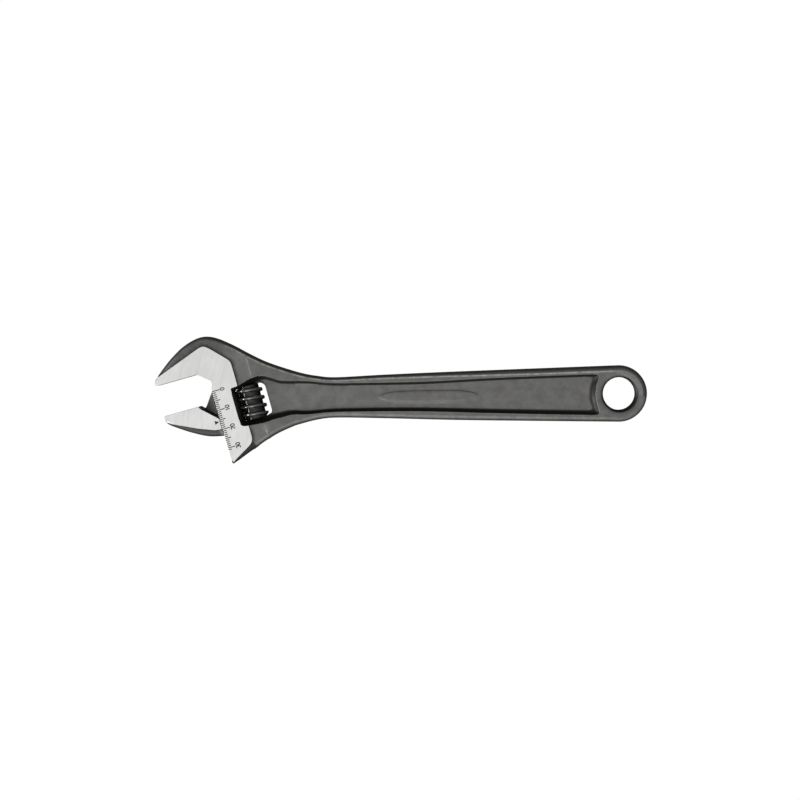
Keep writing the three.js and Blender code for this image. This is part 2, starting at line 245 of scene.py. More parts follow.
def within(points: np.ndarray, loop: np.ndarray) -> np.ndarray:
    """Tells which points lie inside a closed loop, by counting crossings of a ray along +x.

    Args:
        points: (n, 2).
        loop: (m, 2), its last point joining the first.

    Returns:
        A boolean array of length n.
    """
    a, b = loop, np.roll(loop, -1, 0)
    rise = np.where(a[:, 1] == b[:, 1], TINY, b[:, 1] - a[:, 1])
    result = np.empty(len(points), bool)
    for low in range(0, len(points), BATCH):
        x, y = points[low : low + BATCH, :1], points[low : low + BATCH, 1:]
        spans = (a[:, 1] > y) != (b[:, 1] > y)
        crossing = a[:, 0] + (y - a[:, 1]) * (b[:, 0] - a[:, 0]) / rise
        result[low : low + BATCH] = (spans & (x < crossing)).sum(1) % 2 == 1
    return result


def depth_in(points: np.ndarray, loop: np.ndarray) -> np.ndarray:
    """Gives the distance to a closed loop, positive inside it and negative outside.

    Args:
        points: (n, 2).
        loop: (m, 2).

    Returns:
        An array of length n.
    """
    distance, _ = nearest(points, loop, closed=True)
    return np.where(within(points, loop), distance, -distance)


def smooth_step(value: np.ndarray, low: float, high: float) -> np.ndarray:
    """Gives 3t² - 2t³, where t goes from 0 at low to 1 at high."""
    t = np.clip((value - low) / (high - low), 0, 1)
    return t * t * (3 - 2 * t)


def bell(distance: np.ndarray, width: float) -> np.ndarray:
    """Gives e to the minus (distance / width)², which is 1 on a line and fades beside it."""
    return np.exp(-((distance / width) ** 2))


def quarter_round(inside: np.ndarray, radius: np.ndarray | float) -> np.ndarray:
    """Gives how far a quarter round has fallen at a distance inside its edge: radius minus the
    root of radius² - (radius - inside)²."""
    return radius - np.sqrt(np.maximum(radius**2 - (radius - inside) ** 2, 0))


def smooth_max(a: np.ndarray, b: np.ndarray, radius: float) -> np.ndarray:
    """Gives the greater of two heights, with their crossing rounded over the given height."""
    return (a + b + np.sqrt((a - b) ** 2 + radius**2)) / 2


# ------------------------------------------------------------------ meshes


def make_mesh(name: str, points: np.ndarray, faces: list) -> bpy.types.Object:
    """Makes an object at the origin from points in millimetres, with doubles merged and its
    faces turned outward.

    Args:
        name: the object's name.
        points: (n, 3), in the row frame.
        faces: vertex numbers of each face.

    Returns:
        The new object.
    """
    mesh = bpy.data.meshes.new(name)
    mesh.from_pydata((np.asarray(points) * MM).tolist(), [], [list(map(int, f)) for f in faces])
    tidy = bmesh.new()
    tidy.from_mesh(mesh)
    bmesh.ops.remove_doubles(tidy, verts=tidy.verts, dist=MERGE_DISTANCE)
    bmesh.ops.recalc_face_normals(tidy, faces=tidy.faces)
    tidy.to_mesh(mesh)
    tidy.free()
    piece = bpy.data.objects.new(name, mesh)
    bpy.context.scene.collection.objects.link(piece)
    return piece


def grid_faces(rows: int, columns: int) -> np.ndarray:
    """Gives the quads of a grid whose columns close on themselves and whose rows don't.

    Args:
        rows: points along the open way.
        columns: points round the closed way.

    Returns:
        A (n, 4) array of point numbers, numbered row by row.
    """
    row, column = np.meshgrid(np.arange(rows - 1), np.arange(columns), indexing="ij")
    beside = (column + 1) % columns
    corners = [row * columns + column, row * columns + beside]
    corners += [(row + 1) * columns + beside, (row + 1) * columns + column]
    return np.stack(corners, -1).reshape(-1, 4)


def tube(name: str, rings: np.ndarray) -> bpy.types.Object:
    """Makes a closed solid from rings of points, with a flat face at each end.

    Args:
        name: the object's name.
        rings: (rows, columns, 3) points.

    Returns:
        The new object.
    """
    rows, columns, _ = rings.shape
    last = (rows - 1) * columns
    ends = [list(range(columns)), list(range(last, last + columns))]
    return make_mesh(name, rings.reshape(-1, 3), [*grid_faces(rows, columns).tolist(), *ends])


def prism(name: str, outline: np.ndarray, low: float, high: float) -> bpy.types.Object:
    """Makes a straight prism: the outline at two heights, joined.

    Args:
        name: the object's name.
        outline: (n, 2) closed loop.
        low: lower height.
        high: upper height.

    Returns:
        The new object.
    """
    levels = [np.column_stack([outline, np.full(len(outline), z)]) for z in (low, high)]
    return tube(name, np.stack(levels))


def combine(target: bpy.types.Object, tool: bpy.types.Object, operation: str) -> None:
    """Joins a solid to another or cuts it away, and removes the tool.

    Args:
        target: the solid that is changed.
        tool: the solid that joins or cuts.
        operation: UNION or DIFFERENCE.
    """
    modifier = target.modifiers.new("work", "BOOLEAN")
    modifier.object = tool
    modifier.operation = operation
    modifier.solver = "MANIFOLD"
    graph = bpy.context.evaluated_depsgraph_get()
    result = bpy.data.meshes.new_from_object(target.evaluated_get(graph))
    before = len(target.data.polygons)
    target.modifiers.clear()
    if len(result.polygons) < 4:
        raise RuntimeError(f"{operation} of {tool.name} emptied {target.name}")
    log.info("%s %s: %d to %d faces", operation, tool.name, before, len(result.polygons))
    target.data = result
    bpy.data.objects.remove(tool)


def joined(solids: list[bpy.types.Object]) -> bpy.types.Object:
    """Gives one object that holds the closed surfaces of several, and removes them.

    Args:
        solids: closed solids that don't touch one another.

    Returns:
        The first of them, with every surface.
    """
    whole = bmesh.new()
    for solid in solids:
        whole.from_mesh(solid.data)
    whole.to_mesh(solids[0].data)
    whole.free()
    for solid in solids[1:]:
        bpy.data.objects.remove(solid)
    return solids[0]


def finish_faces(piece: bpy.types.Object, crease: float = 32.0) -> None:
    """Merges doubles left by cutting, turns faces outward and smooths all but creased edges.

    Args:
        piece: the object.
        crease: least angle in degrees of an edge that stays sharp.
    """
    tidy = bmesh.new()
    tidy.from_mesh(piece.data)
    bmesh.ops.remove_doubles(tidy, verts=tidy.verts, dist=MERGE_DISTANCE)
    bmesh.ops.dissolve_degenerate(tidy, edges=tidy.edges, dist=MERGE_DISTANCE)
    bmesh.ops.recalc_face_normals(tidy, faces=tidy.faces)
    tidy.to_mesh(piece.data)
    tidy.free()
    piece.data.shade_smooth()
    piece.data.set_sharp_from_angle(angle=math.radians(crease))


def give_finishes(piece: bpy.types.Object, *finishes: bpy.types.Material) -> None:
    """Puts materials on a piece, in place of any that it has.

    Args:
        piece: the object.
        finishes: its materials, in slot order.
    """
    piece.data.materials.clear()
    for finish in finishes:
        piece.data.materials.append(finish)


def store(piece: bpy.types.Object, name: str, value: np.ndarray) -> None:
    """Keeps a value from 0 to 1 for each vertex, as an attribute that a finish reads."""
    attribute = piece.data.attributes.new(name, "FLOAT", "POINT")
    attribute.data.foreach_set("value", np.clip(value, 0, 1).astype(np.float32))


def read_points(mesh: bpy.types.Mesh) -> np.ndarray:
    """Reads a mesh's vertices.

    Args:
        mesh: the mesh.

    Returns:
        An (n, 3) array, in millimetres.
    """
    flat = np.empty(3 * len(mesh.vertices), np.float32)
    mesh.vertices.foreach_get("co", flat)
    return flat.reshape(-1, 3).astype(float) / MM


def face_frames(mesh: bpy.types.Mesh) -> tuple[np.ndarray, np.ndarray]:
    """Reads where every face lies and looks.

    Args:
        mesh: the mesh.

    Returns:
        The faces' middles in millimetres, and their normals, each (n, 3).
    """
    middle = np.empty(3 * len(mesh.polygons), np.float32)
    normal = np.empty_like(middle)
    mesh.polygons.foreach_get("center", middle)
    mesh.polygons.foreach_get("normal", normal)
    return middle.reshape(-1, 3).astype(float) / MM, normal.reshape(-1, 3).astype(float)


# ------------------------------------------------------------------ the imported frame


@dataclass(frozen=True)
class HeadFrame:
    """Plane frame of the head: x runs back from the plate's front edge, y along the slide."""

    origin: np.ndarray
    back: np.ndarray
    up: np.ndarray
    middle: float

    @classmethod
    def read(cls, record: dict, face_setback: float = 16.0) -> HeadFrame:
        """Finds the frame from the fixed jaw's mount, which lies on the jaw's face.

        Args:
            record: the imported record.
            face_setback: distance of that mount ahead of the plate's front edge.

        Returns:
            The head frame in the row frame, in millimetres.
        """
        mounts = {mount["name"]: mount for mount in record["mounts"]}
        face = mounts["fixed_jaw_face"]
        up = -np.array(face["axis"][:2])
        up /= np.linalg.norm(up)
        back = np.array([up[1], -up[0]])
        spot = np.array(face["pos_m"]) / MM
        return cls(spot[:2] + face_setback * back, back, up, spot[2])

    def place(self, points: np.ndarray | list) -> np.ndarray:
        """Takes (n, 2) head-frame points into the row frame."""
        local = np.asarray(points, float)
        return self.origin + local[:, :1] * self.back + local[:, 1:2] * self.up

    def local(self, points: np.ndarray) -> np.ndarray:
        """Takes (n, 2) row-frame points into the head frame."""
        offset = points - self.origin
        return np.column_stack([offset @ self.back, offset @ self.up])

    def place_solid(self, points: np.ndarray) -> np.ndarray:
        """Takes solid points into the row frame.

        Args:
            points: (..., 3) head-frame points, z from the middle plane.

        Returns:
            The same points in the row frame, in the same shape.
        """
        flat = points.reshape(-1, 3)
        plan = self.place(flat[:, :2])
        return np.column_stack([plan, flat[:, 2] + self.middle]).reshape(points.shape)


def about_axis(
    setback: float, radius: np.ndarray | float, height: np.ndarray, angle: np.ndarray
) -> np.ndarray:
    """Gives points round an axis along the slide's direction, in the head frame: setback +
    radius cos angle, height, radius sin angle.

    Args:
        setback: how far the axis lies behind the plate's front edge.
        radius: of each point.
        height: of each point along the axis.
        angle: of each point round the axis, in radians.

    Returns:
        (rows, columns, 3) points; the last three arguments broadcast to (rows, columns).
    """
    radius, height, angle = np.broadcast_arrays(radius, height, angle)
    return np.stack([setback + radius * np.cos(angle), height, radius * np.sin(angle)], -1)


def ground_faces(rise: np.ndarray, upright: np.ndarray, half_ground: float) -> np.ndarray:
    """Tells which faces are ground: they lie flat at the ground height, and aren't the floor of
    anything engraved.

    Args:
        rise: each face's height off the middle plane.
        upright: the size of its normal's z.
        half_ground: the ground height.

    Returns:
        A boolean for each face.
    """
    band, engraved_depth = 0.26, 0.1
    sloping, level = 0.6, 0.9
    on_face = (rise > half_ground - band) & (upright > sloping)
    engraved = (rise < half_ground - engraved_depth) & (upright > level)
    return on_face & ~engraved


def opening_centre(record: dict, name: str) -> np.ndarray:
    """Gives the plan position of a stated opening's middle, in millimetres."""
    box = next(o["box_m"] for o in record["physics"]["openings"] if o["name"] == name)
    return (np.array(box[0]) + np.array(box[1]))[:2] / 2 / MM


# ------------------------------------------------------------------ reliefs


@dataclass
class Relief:
    """A solid whose two faces are one height over a plan, mirrored in the middle plane.

    Its rim is an outline with a land: the height at which each face meets the upright wall.
    """

    name: str
    outline: np.ndarray
    land: np.ndarray
    height: Callable[[np.ndarray], np.ndarray]
    middle: float
    holes: list[np.ndarray] = field(default_factory=list)
    loops: list[np.ndarray] = field(default_factory=list)
    lines: list[np.ndarray] = field(default_factory=list)
    seeds: list[np.ndarray] = field(default_factory=list)

    def build(self) -> bpy.types.Object:
        """Triangulates the plan with every line as an edge, and stands the height on it.

        Returns:
            The closed solid.
        """
        loops = [self.outline, *self.holes, *self.loops]
        edges = []
        count = 0
        for line in [*loops, *self.lines]:
            number = np.arange(len(line)) + count
            pairs = np.column_stack([number, np.roll(number, -1)])
            edges.append(pairs if len(edges) < len(loops) else pairs[:-1])
            count += len(line)
        spots = [Vector(p) for p in np.vstack([*loops, *self.lines, *self.seeds]).tolist()]
        plan, _, faces, origins, *_ = delaunay_2d_cdt(
            spots, np.vstack(edges).tolist(), [], 0, PLAN_TOLERANCE, True
        )
        plan = np.array([tuple(v) for v in plan])
        triangles = np.array([f for f in faces if len(f) == 3])
        centre = plan[triangles].mean(1)
        kept = within(centre, self.outline)
        for hole in self.holes:
            kept &= ~within(centre, hole)
        triangles = triangles[kept]
        top = self.height(plan)
        rim = len(self.outline)
        source = np.array([min(found, default=rim) for found in origins])
        on_rim = source < rim
        top[on_rim] = self.land[source[on_rim]]
        return self._close(plan, top, triangles)

    def _close(
        self, plan: np.ndarray, top: np.ndarray, triangles: np.ndarray
    ) -> bpy.types.Object:
        """Mirrors the upper face and joins the two along every open edge.

        Args:
            plan: (n, 2) points.
            top: their heights above the middle plane.
            triangles: (m, 3) point numbers of the upper face.

        Returns:
            The closed solid.
        """
        sides = np.vstack([triangles[:, [0, 1]], triangles[:, [1, 2]], triangles[:, [2, 0]]])
        key = np.sort(sides, 1)
        _, first, count = np.unique(key, axis=0, return_index=True, return_counts=True)
        rim = sides[first[count == 1]]
        shift = len(plan)
        walls = np.column_stack([rim[:, 0], rim[:, 1], rim[:, 1] + shift, rim[:, 0] + shift])
        upper = np.column_stack([plan, self.middle + top])
        lower = np.column_stack([plan, self.middle - top])
        faces = [*triangles.tolist(), *(triangles[:, ::-1] + shift).tolist(), *walls.tolist()]
        return make_mesh(self.name, np.vstack([upper, lower]), faces)


def inset_seeds(
    outline: np.ndarray, depths: Sequence[float], wanted: np.ndarray
) -> list[np.ndarray]:
    """Gives points at set depths inside an outline: each is its outline point moved along the
    inward normal, and is dropped where another part of the outline is nearer than its depth.

    Args:
        outline: (n, 2) closed loop.
        depths: distances inward, negative outward.
        wanted: which outline points take part.

    Returns:
        One array of points for each depth.
    """
    run = np.roll(outline, -1, 0) - np.roll(outline, 1, 0)
    run /= np.maximum(np.linalg.norm(run, axis=1, keepdims=True), TINY)
    following = np.roll(outline, -1, 0)
    area = (outline[:, 0] * following[:, 1] - following[:, 0] * outline[:, 1]).sum()
    inward = np.column_stack([-run[:, 1], run[:, 0]]) * np.sign(area)
    nearly = 0.9
    rings = []
    for depth in depths:
        ring = (outline + inward * depth)[wanted]
        rings.append(ring[depth_in(ring, outline) * np.sign(depth) > abs(depth) * nearly])
    return rings


def hexagon_seeds(low: np.ndarray, high: np.ndarray, pitch: float) -> np.ndarray:
    """Gives an even field of points in a box, every second row shifted by half the pitch.

    Args:
        low: the box's lowest corner, (x, y).
        high: its highest corner.
        pitch: spacing along a row.

    Returns:
        An (n, 2) array.
    """
    row_share = 0.866
    rows = np.arange(low[1], high[1], pitch * row_share)
    columns = np.arange(low[0], high[0], pitch)
    x, y = np.meshgrid(columns, rows)
    x = x + (np.arange(len(rows)) % 2)[:, None] * pitch / 2
    return np.column_stack([x.ravel(), y.ravel()])


def clear_of(points: np.ndarray, lines: list[tuple[np.ndarray, bool]], gap: float) -> np.ndarray:
    """Keeps the points that are further than a gap from every line.

    Args:
        points: (n, 2).
        lines: each line, and whether it is closed.
        gap: the least distance.

    Returns:
        The points that stay.
    """
    for line, closed in lines:
        distance, _ = nearest(points, line, closed)
        points = points[distance > gap]
    return points


# ------------------------------------------------------------------ finishes


def colour_ramp(
    tree: bpy.types.NodeTree, source: bpy.types.NodeSocket, stops: list[tuple[float, tuple]]
) -> bpy.types.NodeSocket:
    """Adds a colour ramp.

    Args:
        tree: the material's nodes.
        source: what drives the ramp.
        stops: (position, (r, g, b)) pairs, at least two.

    Returns:
        The ramp's colour socket.
    """
    ramp = tree.nodes.new("ShaderNodeValToRGB")
    elements = ramp.color_ramp.elements
    while len(elements) < len(stops):
        elements.new(0.5)
    for element, (position, colour) in zip(elements, stops):
        element.position = position
        element.color = (*colour, 1)
    tree.links.new(source, ramp.inputs["Fac"])
    return ramp.outputs["Color"]


def noise(
    tree: bpy.types.NodeTree,
    where: bpy.types.NodeSocket,
    scale: float,
    detail: float,
    roughness: float = 0.5,
) -> bpy.types.NodeSocket:
    """Adds a noise texture.

    Args:
        tree: the material's nodes.
        where: the place on the piece.
        scale: grains to the metre.
        detail: octaves of finer noise.
        roughness: share of each finer octave.

    Returns:
        The noise's value.
    """
    node = tree.nodes.new("ShaderNodeTexNoise")
    node.inputs["Scale"].default_value = scale
    node.inputs["Detail"].default_value = detail
    node.inputs["Roughness"].default_value = roughness
    tree.links.new(where, node.inputs["Vector"])
    return node.outputs["Fac"]


def spread(
    tree: bpy.types.NodeTree, source: bpy.types.NodeSocket, low: float, high: float
) -> bpy.types.NodeSocket:
    """Maps 0.3 to 0.7 of a source to low to high, held at both ends.

    Args:
        tree: the material's nodes.
        source: a noise's value.
        low: the result at 0.3.
        high: the result at 0.7.

    Returns:
        The mapped value.
    """
    node = tree.nodes.new("ShaderNodeMapRange")
    node.inputs["From Min"].default_value = 0.3
    node.inputs["From Max"].default_value = 0.7
    node.inputs["To Min"].default_value = low
    node.inputs["To Max"].default_value = high
    tree.links.new(source, node.inputs["Value"])
    return node.outputs["Result"]


def arithmetic(
    tree: bpy.types.NodeTree, operation: str, a: object, b: object
) -> bpy.types.NodeSocket:
    """Adds a math node.

    Args:
        tree: the material's nodes.
        operation: the node's operation.
        a: first socket or number.
        b: second socket or number.

    Returns:
        The node's result.
    """
    node = tree.nodes.new("ShaderNodeMath")
    node.operation = operation
    for socket, value in zip(node.inputs, (a, b)):
        if isinstance(value, (int, float)):
            socket.default_value = value
        else:
            tree.links.new(value, socket)
    return node.outputs[0]


def bump(
    tree: bpy.types.NodeTree,
    height: bpy.types.NodeSocket,
    depth: float,
    below: bpy.types.NodeSocket | None = None,
) -> bpy.types.NodeSocket:
    """Adds a bump, on top of another if one is given.

    Args:
        tree: the material's nodes.
        height: the bump's shape, from 0 to 1.
        depth: its height in metres.
        below: the normal of the bump under it.

    Returns:
        The bumped normal.
    """
    node = tree.nodes.new("ShaderNodeBump")
    node.inputs["Strength"].default_value = 1.0
    node.inputs["Distance"].default_value = depth
    tree.links.new(height, node.inputs["Height"])
    if below is not None:
        tree.links.new(below, node.inputs["Normal"])
    return node.outputs["Normal"]


def blank_material(name: str) -> tuple[bpy.types.Material, bpy.types.NodeTree, bpy.types.Node]:
    """Makes a material with nodes.

    Args:
        name: the material's name.

    Returns:
        The material, its nodes and its Principled shader.
    """
    material = bpy.data.materials.new(name)
    material.use_nodes = True
    tree = material.node_tree
    return material, tree, tree.nodes["Principled BSDF"]


def stored(tree: bpy.types.NodeTree, name: str) -> bpy.types.NodeSocket:
    """Reads the value that a piece stores for each vertex.

    Args:
        tree: the material's nodes.
        name: the attribute's name.

    Returns:
        The value's socket.
    """
    node = tree.nodes.new("ShaderNodeAttribute")
    node.attribute_name = name
    return node.outputs["Fac"]


def cover(
    tree: bpy.types.NodeTree, share: bpy.types.NodeSocket, base: bpy.types.NodeSocket, colour: tuple
) -> bpy.types.NodeSocket:
    """Lays a plain colour over a base.

    Args:
        tree: the nodes.
        share: from 0, the base alone, to 1, the colour alone.
        base: the colour below.
        colour: the (r, g, b) above.

    Returns:
        The mixed colour.
    """
    node = tree.nodes.new("ShaderNodeMix")
    node.data_type = "RGBA"
    node.inputs["B"].default_value = (*colour, 1)
    tree.links.new(share, node.inputs["Factor"])
    tree.links.new(base, node.inputs["A"])
    return node.outputs["Result"]


def object_place(tree: bpy.types.NodeTree) -> bpy.types.NodeSocket:
    """Gives the Object coordinates socket."""
    return tree.nodes.new("ShaderNodeTexCoord").outputs["Object"]


@dataclass(frozen=True)
class BlackForging:
    """Phosphated forging: matt, finely grained, mottled, with painted highlights, partly rubbed
    wear, along its edges and painted shade in its corners and hollows. Scales are in grains to the
    metre, heights in metres."""

    name: str = "black_forging"
    dark: tuple = (0.086, 0.085, 0.081)
    light: tuple = (0.15, 0.148, 0.142)
    # Colour of the painted highlights, partly rubbed wear.
    worn_and_highlit: tuple = (0.46, 0.455, 0.44)
    # Colour of the painted shade, and of the engraving's dark fill.
    shade_and_soot: tuple = (0.012, 0.012, 0.011)
    metallic: float = 0.6
    roughness: tuple = (0.42, 0.6)
    mottle_scale: float = 190
    grain_scale: float = 2600
    patch_scale: float = 420
    crust_scale: float = 520
    mottle_share: float = 0.6
    grain_share: float = 0.4
    tone_range: tuple = (0.34, 0.66)
    patch_range: tuple = (0.15, 1.0)
    crust_height: float = 0.00006
    grain_height: float = 0.000025

    def build(self) -> bpy.types.Material:
        """Makes the material: two noises mixed give the tone, and the painted highlights with their
        wear and the painted shade that the piece stores lie over it.

        Returns:
            The material.
        """
        material, tree, shader = blank_material(self.name)
        where = object_place(tree)
        mottle = noise(tree, where, self.mottle_scale, detail=5, roughness=0.6)
        grain = noise(tree, where, self.grain_scale, detail=3, roughness=0.6)
        tone = arithmetic(
            tree,
            "ADD",
            arithmetic(tree, "MULTIPLY", mottle, self.mottle_share),
            arithmetic(tree, "MULTIPLY", grain, self.grain_share),
        )
        low, high = self.tone_range
        base = colour_ramp(tree, tone, [(low, self.dark), (high, self.light)])
        patch = spread(tree, noise(tree, where, self.patch_scale, detail=4), *self.patch_range)
        # Painted highlight, partly wear, then painted shade, laid over the tone.
        worn_and_highlit = arithmetic(tree, "MULTIPLY", stored(tree, "wear_and_highlight"), patch)
        rubbed_and_highlit = cover(tree, worn_and_highlit, base, self.worn_and_highlit)
        shaded_and_soiled = cover(tree, stored(tree, "painted_shade_and_grime"), rubbed_and_highlit, self.shade_and_soot)
        tree.links.new(shaded_and_soiled, shader.inputs["Base Color"])
        tree.links.new(spread(tree, tone, *self.roughness), shader.inputs["Roughness"])
        crust = bump(tree, noise(tree, where, self.crust_scale, detail=3), self.crust_height)
        tree.links.new(bump(tree, grain, self.grain_height, crust), shader.inputs["Normal"])
        shader.inputs["Metallic"].default_value = self.metallic
        return material


@dataclass(frozen=True)
class GroundSteel:
    """Bright steel ground on a wheel: long shallow arcs struck about a far centre."""

    name: str = "ground_steel"
    dull: tuple = (0.58, 0.579, 0.574)
    bright: tuple = (0.71, 0.709, 0.704)
    centre: tuple = (0.02, -0.02, 0.0)
    roughness: tuple = (0.3, 0.42)
    arc_share: float = 0.006
    fine_scale: float = 4200
    broad_scale: float = 600
    cloud_scale: float = 60
    streak_share: float = 0.35
    cloud_share: float = 0.3
    tone_range: tuple = (0.35, 0.65)
    groove_depth: float = 0.000012

    def build(self) -> bpy.types.Material:
        """Makes the material: noise of the distance from the far centre gives the arcs.

        Returns:
            The material.
        """
        material, tree, shader = blank_material(self.name)
        offset = tree.nodes.new("ShaderNodeVectorMath")
        offset.operation = "SUBTRACT"
        offset.inputs[1].default_value = self.centre
        tree.links.new(object_place(tree), offset.inputs[0])
        far = tree.nodes.new("ShaderNodeVectorMath")
        far.operation = "LENGTH"
        tree.links.new(offset.outputs["Vector"], far.inputs[0])
        split = tree.nodes.new("ShaderNodeSeparateXYZ")
        tree.links.new(offset.outputs["Vector"], split.inputs[0])
        turn = arithmetic(tree, "ARCTAN2", split.outputs["Y"], split.outputs["X"])
        polar = tree.nodes.new("ShaderNodeCombineXYZ")
        tree.links.new(far.outputs["Value"], polar.inputs["X"])
        tree.links.new(arithmetic(tree, "MULTIPLY", turn, self.arc_share), polar.inputs["Y"])
        tree.links.new(split.outputs["Z"], polar.inputs["Z"])
        fine = noise(tree, polar.outputs[0], self.fine_scale, detail=4, roughness=0.7)
        broad = noise(tree, polar.outputs[0], self.broad_scale, detail=3, roughness=0.6)
        cloud = noise(tree, object_place(tree), self.cloud_scale, detail=2)
        both = arithmetic(tree, "ADD", fine, broad)
        tone = arithmetic(
            tree,
            "ADD",
            arithmetic(tree, "MULTIPLY", both, self.streak_share),
            arithmetic(tree, "MULTIPLY", cloud, self.cloud_share),
        )
        low, high = self.tone_range
        base = colour_ramp(tree, tone, [(low, self.dull), (high, self.bright)])
        tree.links.new(base, shader.inputs["Base Color"])
        tree.links.new(spread(tree, tone, *self.roughness), shader.inputs["Roughness"])
        tree.links.new(bump(tree, fine, self.groove_depth), shader.inputs["Normal"])
        shader.inputs["Metallic"].default_value = 1.0
        return material


@dataclass(frozen=True)
class DarkSteel:
    """Steel with an oiled oxide film: smooth, with a faint grain and cloudy sheen, and greyer where
    the piece stores it: a painted highlight on the knurl's crests, partly rubbed wear."""

    name: str
    dark: tuple
    light: tuple
    roughness: tuple
    metallic: float = 0.7
    worn_and_highlit: tuple = (0.13, 0.13, 0.127)
    cloud_scale: float = 350
    grain_scale: float = 3200
    tone_range: tuple = (0.35, 0.65)
    grain_height: float = 0.000003

    def build(self) -> bpy.types.Material:
        """Makes the material: one noise gives its clouds and its sheen, a finer one its grain.

        Returns:
            The material.
        """
        material, tree, shader = blank_material(self.name)
        where = object_place(tree)
        cloud = noise(tree, where, self.cloud_scale, detail=4, roughness=0.6)
        grain = noise(tree, where, self.grain_scale, detail=3, roughness=0.6)
        low, high = self.tone_range
        base = colour_ramp(tree, cloud, [(low, self.dark), (high, self.light)])
        # Painted highlight, partly wear, laid over the oxide where the piece stores it.
        rubbed_and_highlit = cover(tree, stored(tree, "wear_and_highlight"), base, self.worn_and_highlit)
        tree.links.new(rubbed_and_highlit, shader.inputs["Base Color"])
        tree.links.new(spread(tree, cloud, *self.roughness), shader.inputs["Roughness"])
        tree.links.new(bump(tree, grain, self.grain_height), shader.inputs["Normal"])
        shader.inputs["Metallic"].default_value = self.metallic
        return material


@dataclass
class Palette:
    """The finishes that the pieces share, made once."""

    forging: bpy.types.Material
    ground: bpy.types.Material
    oxide: bpy.types.Material
    pin: bpy.types.Material
    wire: bpy.types.Material

    @classmethod
    def make(cls) -> Palette:
        """Builds every finish.

        Returns:
            The palette.
        """
        oxide = DarkSteel("oiled_oxide", (0.018, 0.018, 0.018), (0.045, 0.045, 0.044), (0.12, 0.2))
        pin = DarkSteel("pin_oxide", (0.04, 0.04, 0.039), (0.085, 0.083, 0.08), (0.32, 0.5))
        wire = DarkSteel("drawn_wire", (0.3, 0.3, 0.29), (0.42, 0.42, 0.41), (0.22, 0.36), 1.0)
        return cls(
            BlackForging().build(),
            GroundSteel().build(),
            oxide.build(),
            pin.build(),
            wire.build(),
        )


# ------------------------------------------------------------------ the head's shared sizes


@dataclass(frozen=True)
class HeadSizes:
    """Sizes that the body, the jaw, the knurl and its pin share, in the head frame: setbacks
    run from the plate's front edge, and heights from the fixed jaw's face."""

    half_ground: float = 7.75
    half_forged: float = 7.25
    jaw_reach: float = 27.3
    plate_width: float = 9.3
    window_drop: float = 12.2
    window_bottom: float = -30.2
    thrust_play: float = 0.04
    window_back: float = 26.7
    knurl_setback: float = 17.9
    knurl_middle: float = -21.2
    knurl_length: float = 17.2
    tip_radius: float = 7.0
    root_radius: float = 5.47
    mesh_radius: float = 6.2
    pitch: float = 4.2
    phase: float = 1.1
    shank_setback: float = 7.4
    shank_radius: float = 5.0
    rack_root: float = 3.42
    shank_rise: float = 10.0
    shank_drop: float = 20.0
    opening: float = 16.0
    slide_gap: float = 0.3
    half_web: float = 3.0
    pin_radius: float = 2.0
    pin_head_radius: float = 2.9
    pin_bottom: float = -42.0
    pin_step: float = -34.0
    pin_top: float = -5.9
    pin_gap: float = 0.3

    def head_bar(
        self, head: HeadFrame, name: str, radius: float, x: float, low: float, high: float
    ) -> bpy.types.Object:
        """Makes a plain round bar along the slide's direction.

        Args:
            head: the head frame.
            name: the bar's name.
            radius: of the bar.
            x: its axis behind the plate's front edge.
            low: lower end.
            high: upper end.

        Returns:
            The bar.
        """
        rings = about_axis(x, radius, np.array([[low], [high]]), whole_turn(96))
        return tube(name, head.place_solid(rings))


# The web's front edge above the jaw, which the slot in the plate follows, in the head frame.
WEB_CREST = [(-5.0, -0.8), (-2.0, 3.5), (0.5, 6.6), (3.2, 9.4)]


# ------------------------------------------------------------------ engraving


@dataclass(frozen=True)
class Engraving:
    """Cutters for graduations and figures: strokes of one width and depth along plain paths."""

    head: HeadFrame
    face: float
    side: int
    width: float = 0.48
    depth: float = 0.16

    def stroke(self, name: str, path: np.ndarray) -> bpy.types.Object:
        """Makes a stroke's cutter: a rectangle carried along the path, square at both ends.

        Args:
            name: its name.
            path: (n, 2) points in the head frame.

        Returns:
            The cutter.
        """
        across = leftward(path) * (self.width / 2)
        left, right = path + across, path - across
        inner, outer = (
            np.full((len(path), 1), self.side * (self.face + shift))
            for shift in (-self.depth, self.depth)
        )
        corners = [(left, inner), (right, inner), (right, outer), (left, outer)]
        ring = np.stack([np.hstack(corner) for corner in corners], 1)
        return tube(name, self.head.place_solid(ring))

    def figure(self, digit: str, place: tuple[float, float], tall: float) -> np.ndarray:
        """Gives a figure's path, built from arcs and lines in a box one high and 0.6 wide, and
        turned to read along the slide.

        Args:
            digit: one of 0, 1, 2 and 3.
            place: middle of the figure in the head frame.
            tall: its height.

        Returns:
            An (n, 2) path in the head frame.
        """
        if digit == "0":
            a = np.radians(np.linspace(95, 445, 40))
            shape = np.column_stack([0.28 * np.cos(a), 0.5 * np.sin(a)])
        elif digit == "1":
            shape = spaced(np.array([(-0.14, 0.3), (0.04, 0.5), (0.04, -0.5)]), 0.1, False)
        elif digit == "2":
            bow = arc((0, 0.22), 0.27, 165, -35, 16)
            foot = np.array([(-0.26, -0.46), (0.3, -0.46)])
            shape = np.vstack([bow, foot])
        else:
            upper = arc((-0.02, 0.25), 0.24, 150, -75, 14)
            lower = arc((-0.02, -0.22), 0.28, 75, -150, 16)
            shape = np.vstack([upper, lower])
        along, high = shape[:, 0] * tall * self.side, shape[:, 1] * tall
        return np.column_stack([place[0] - high, place[1] + along])


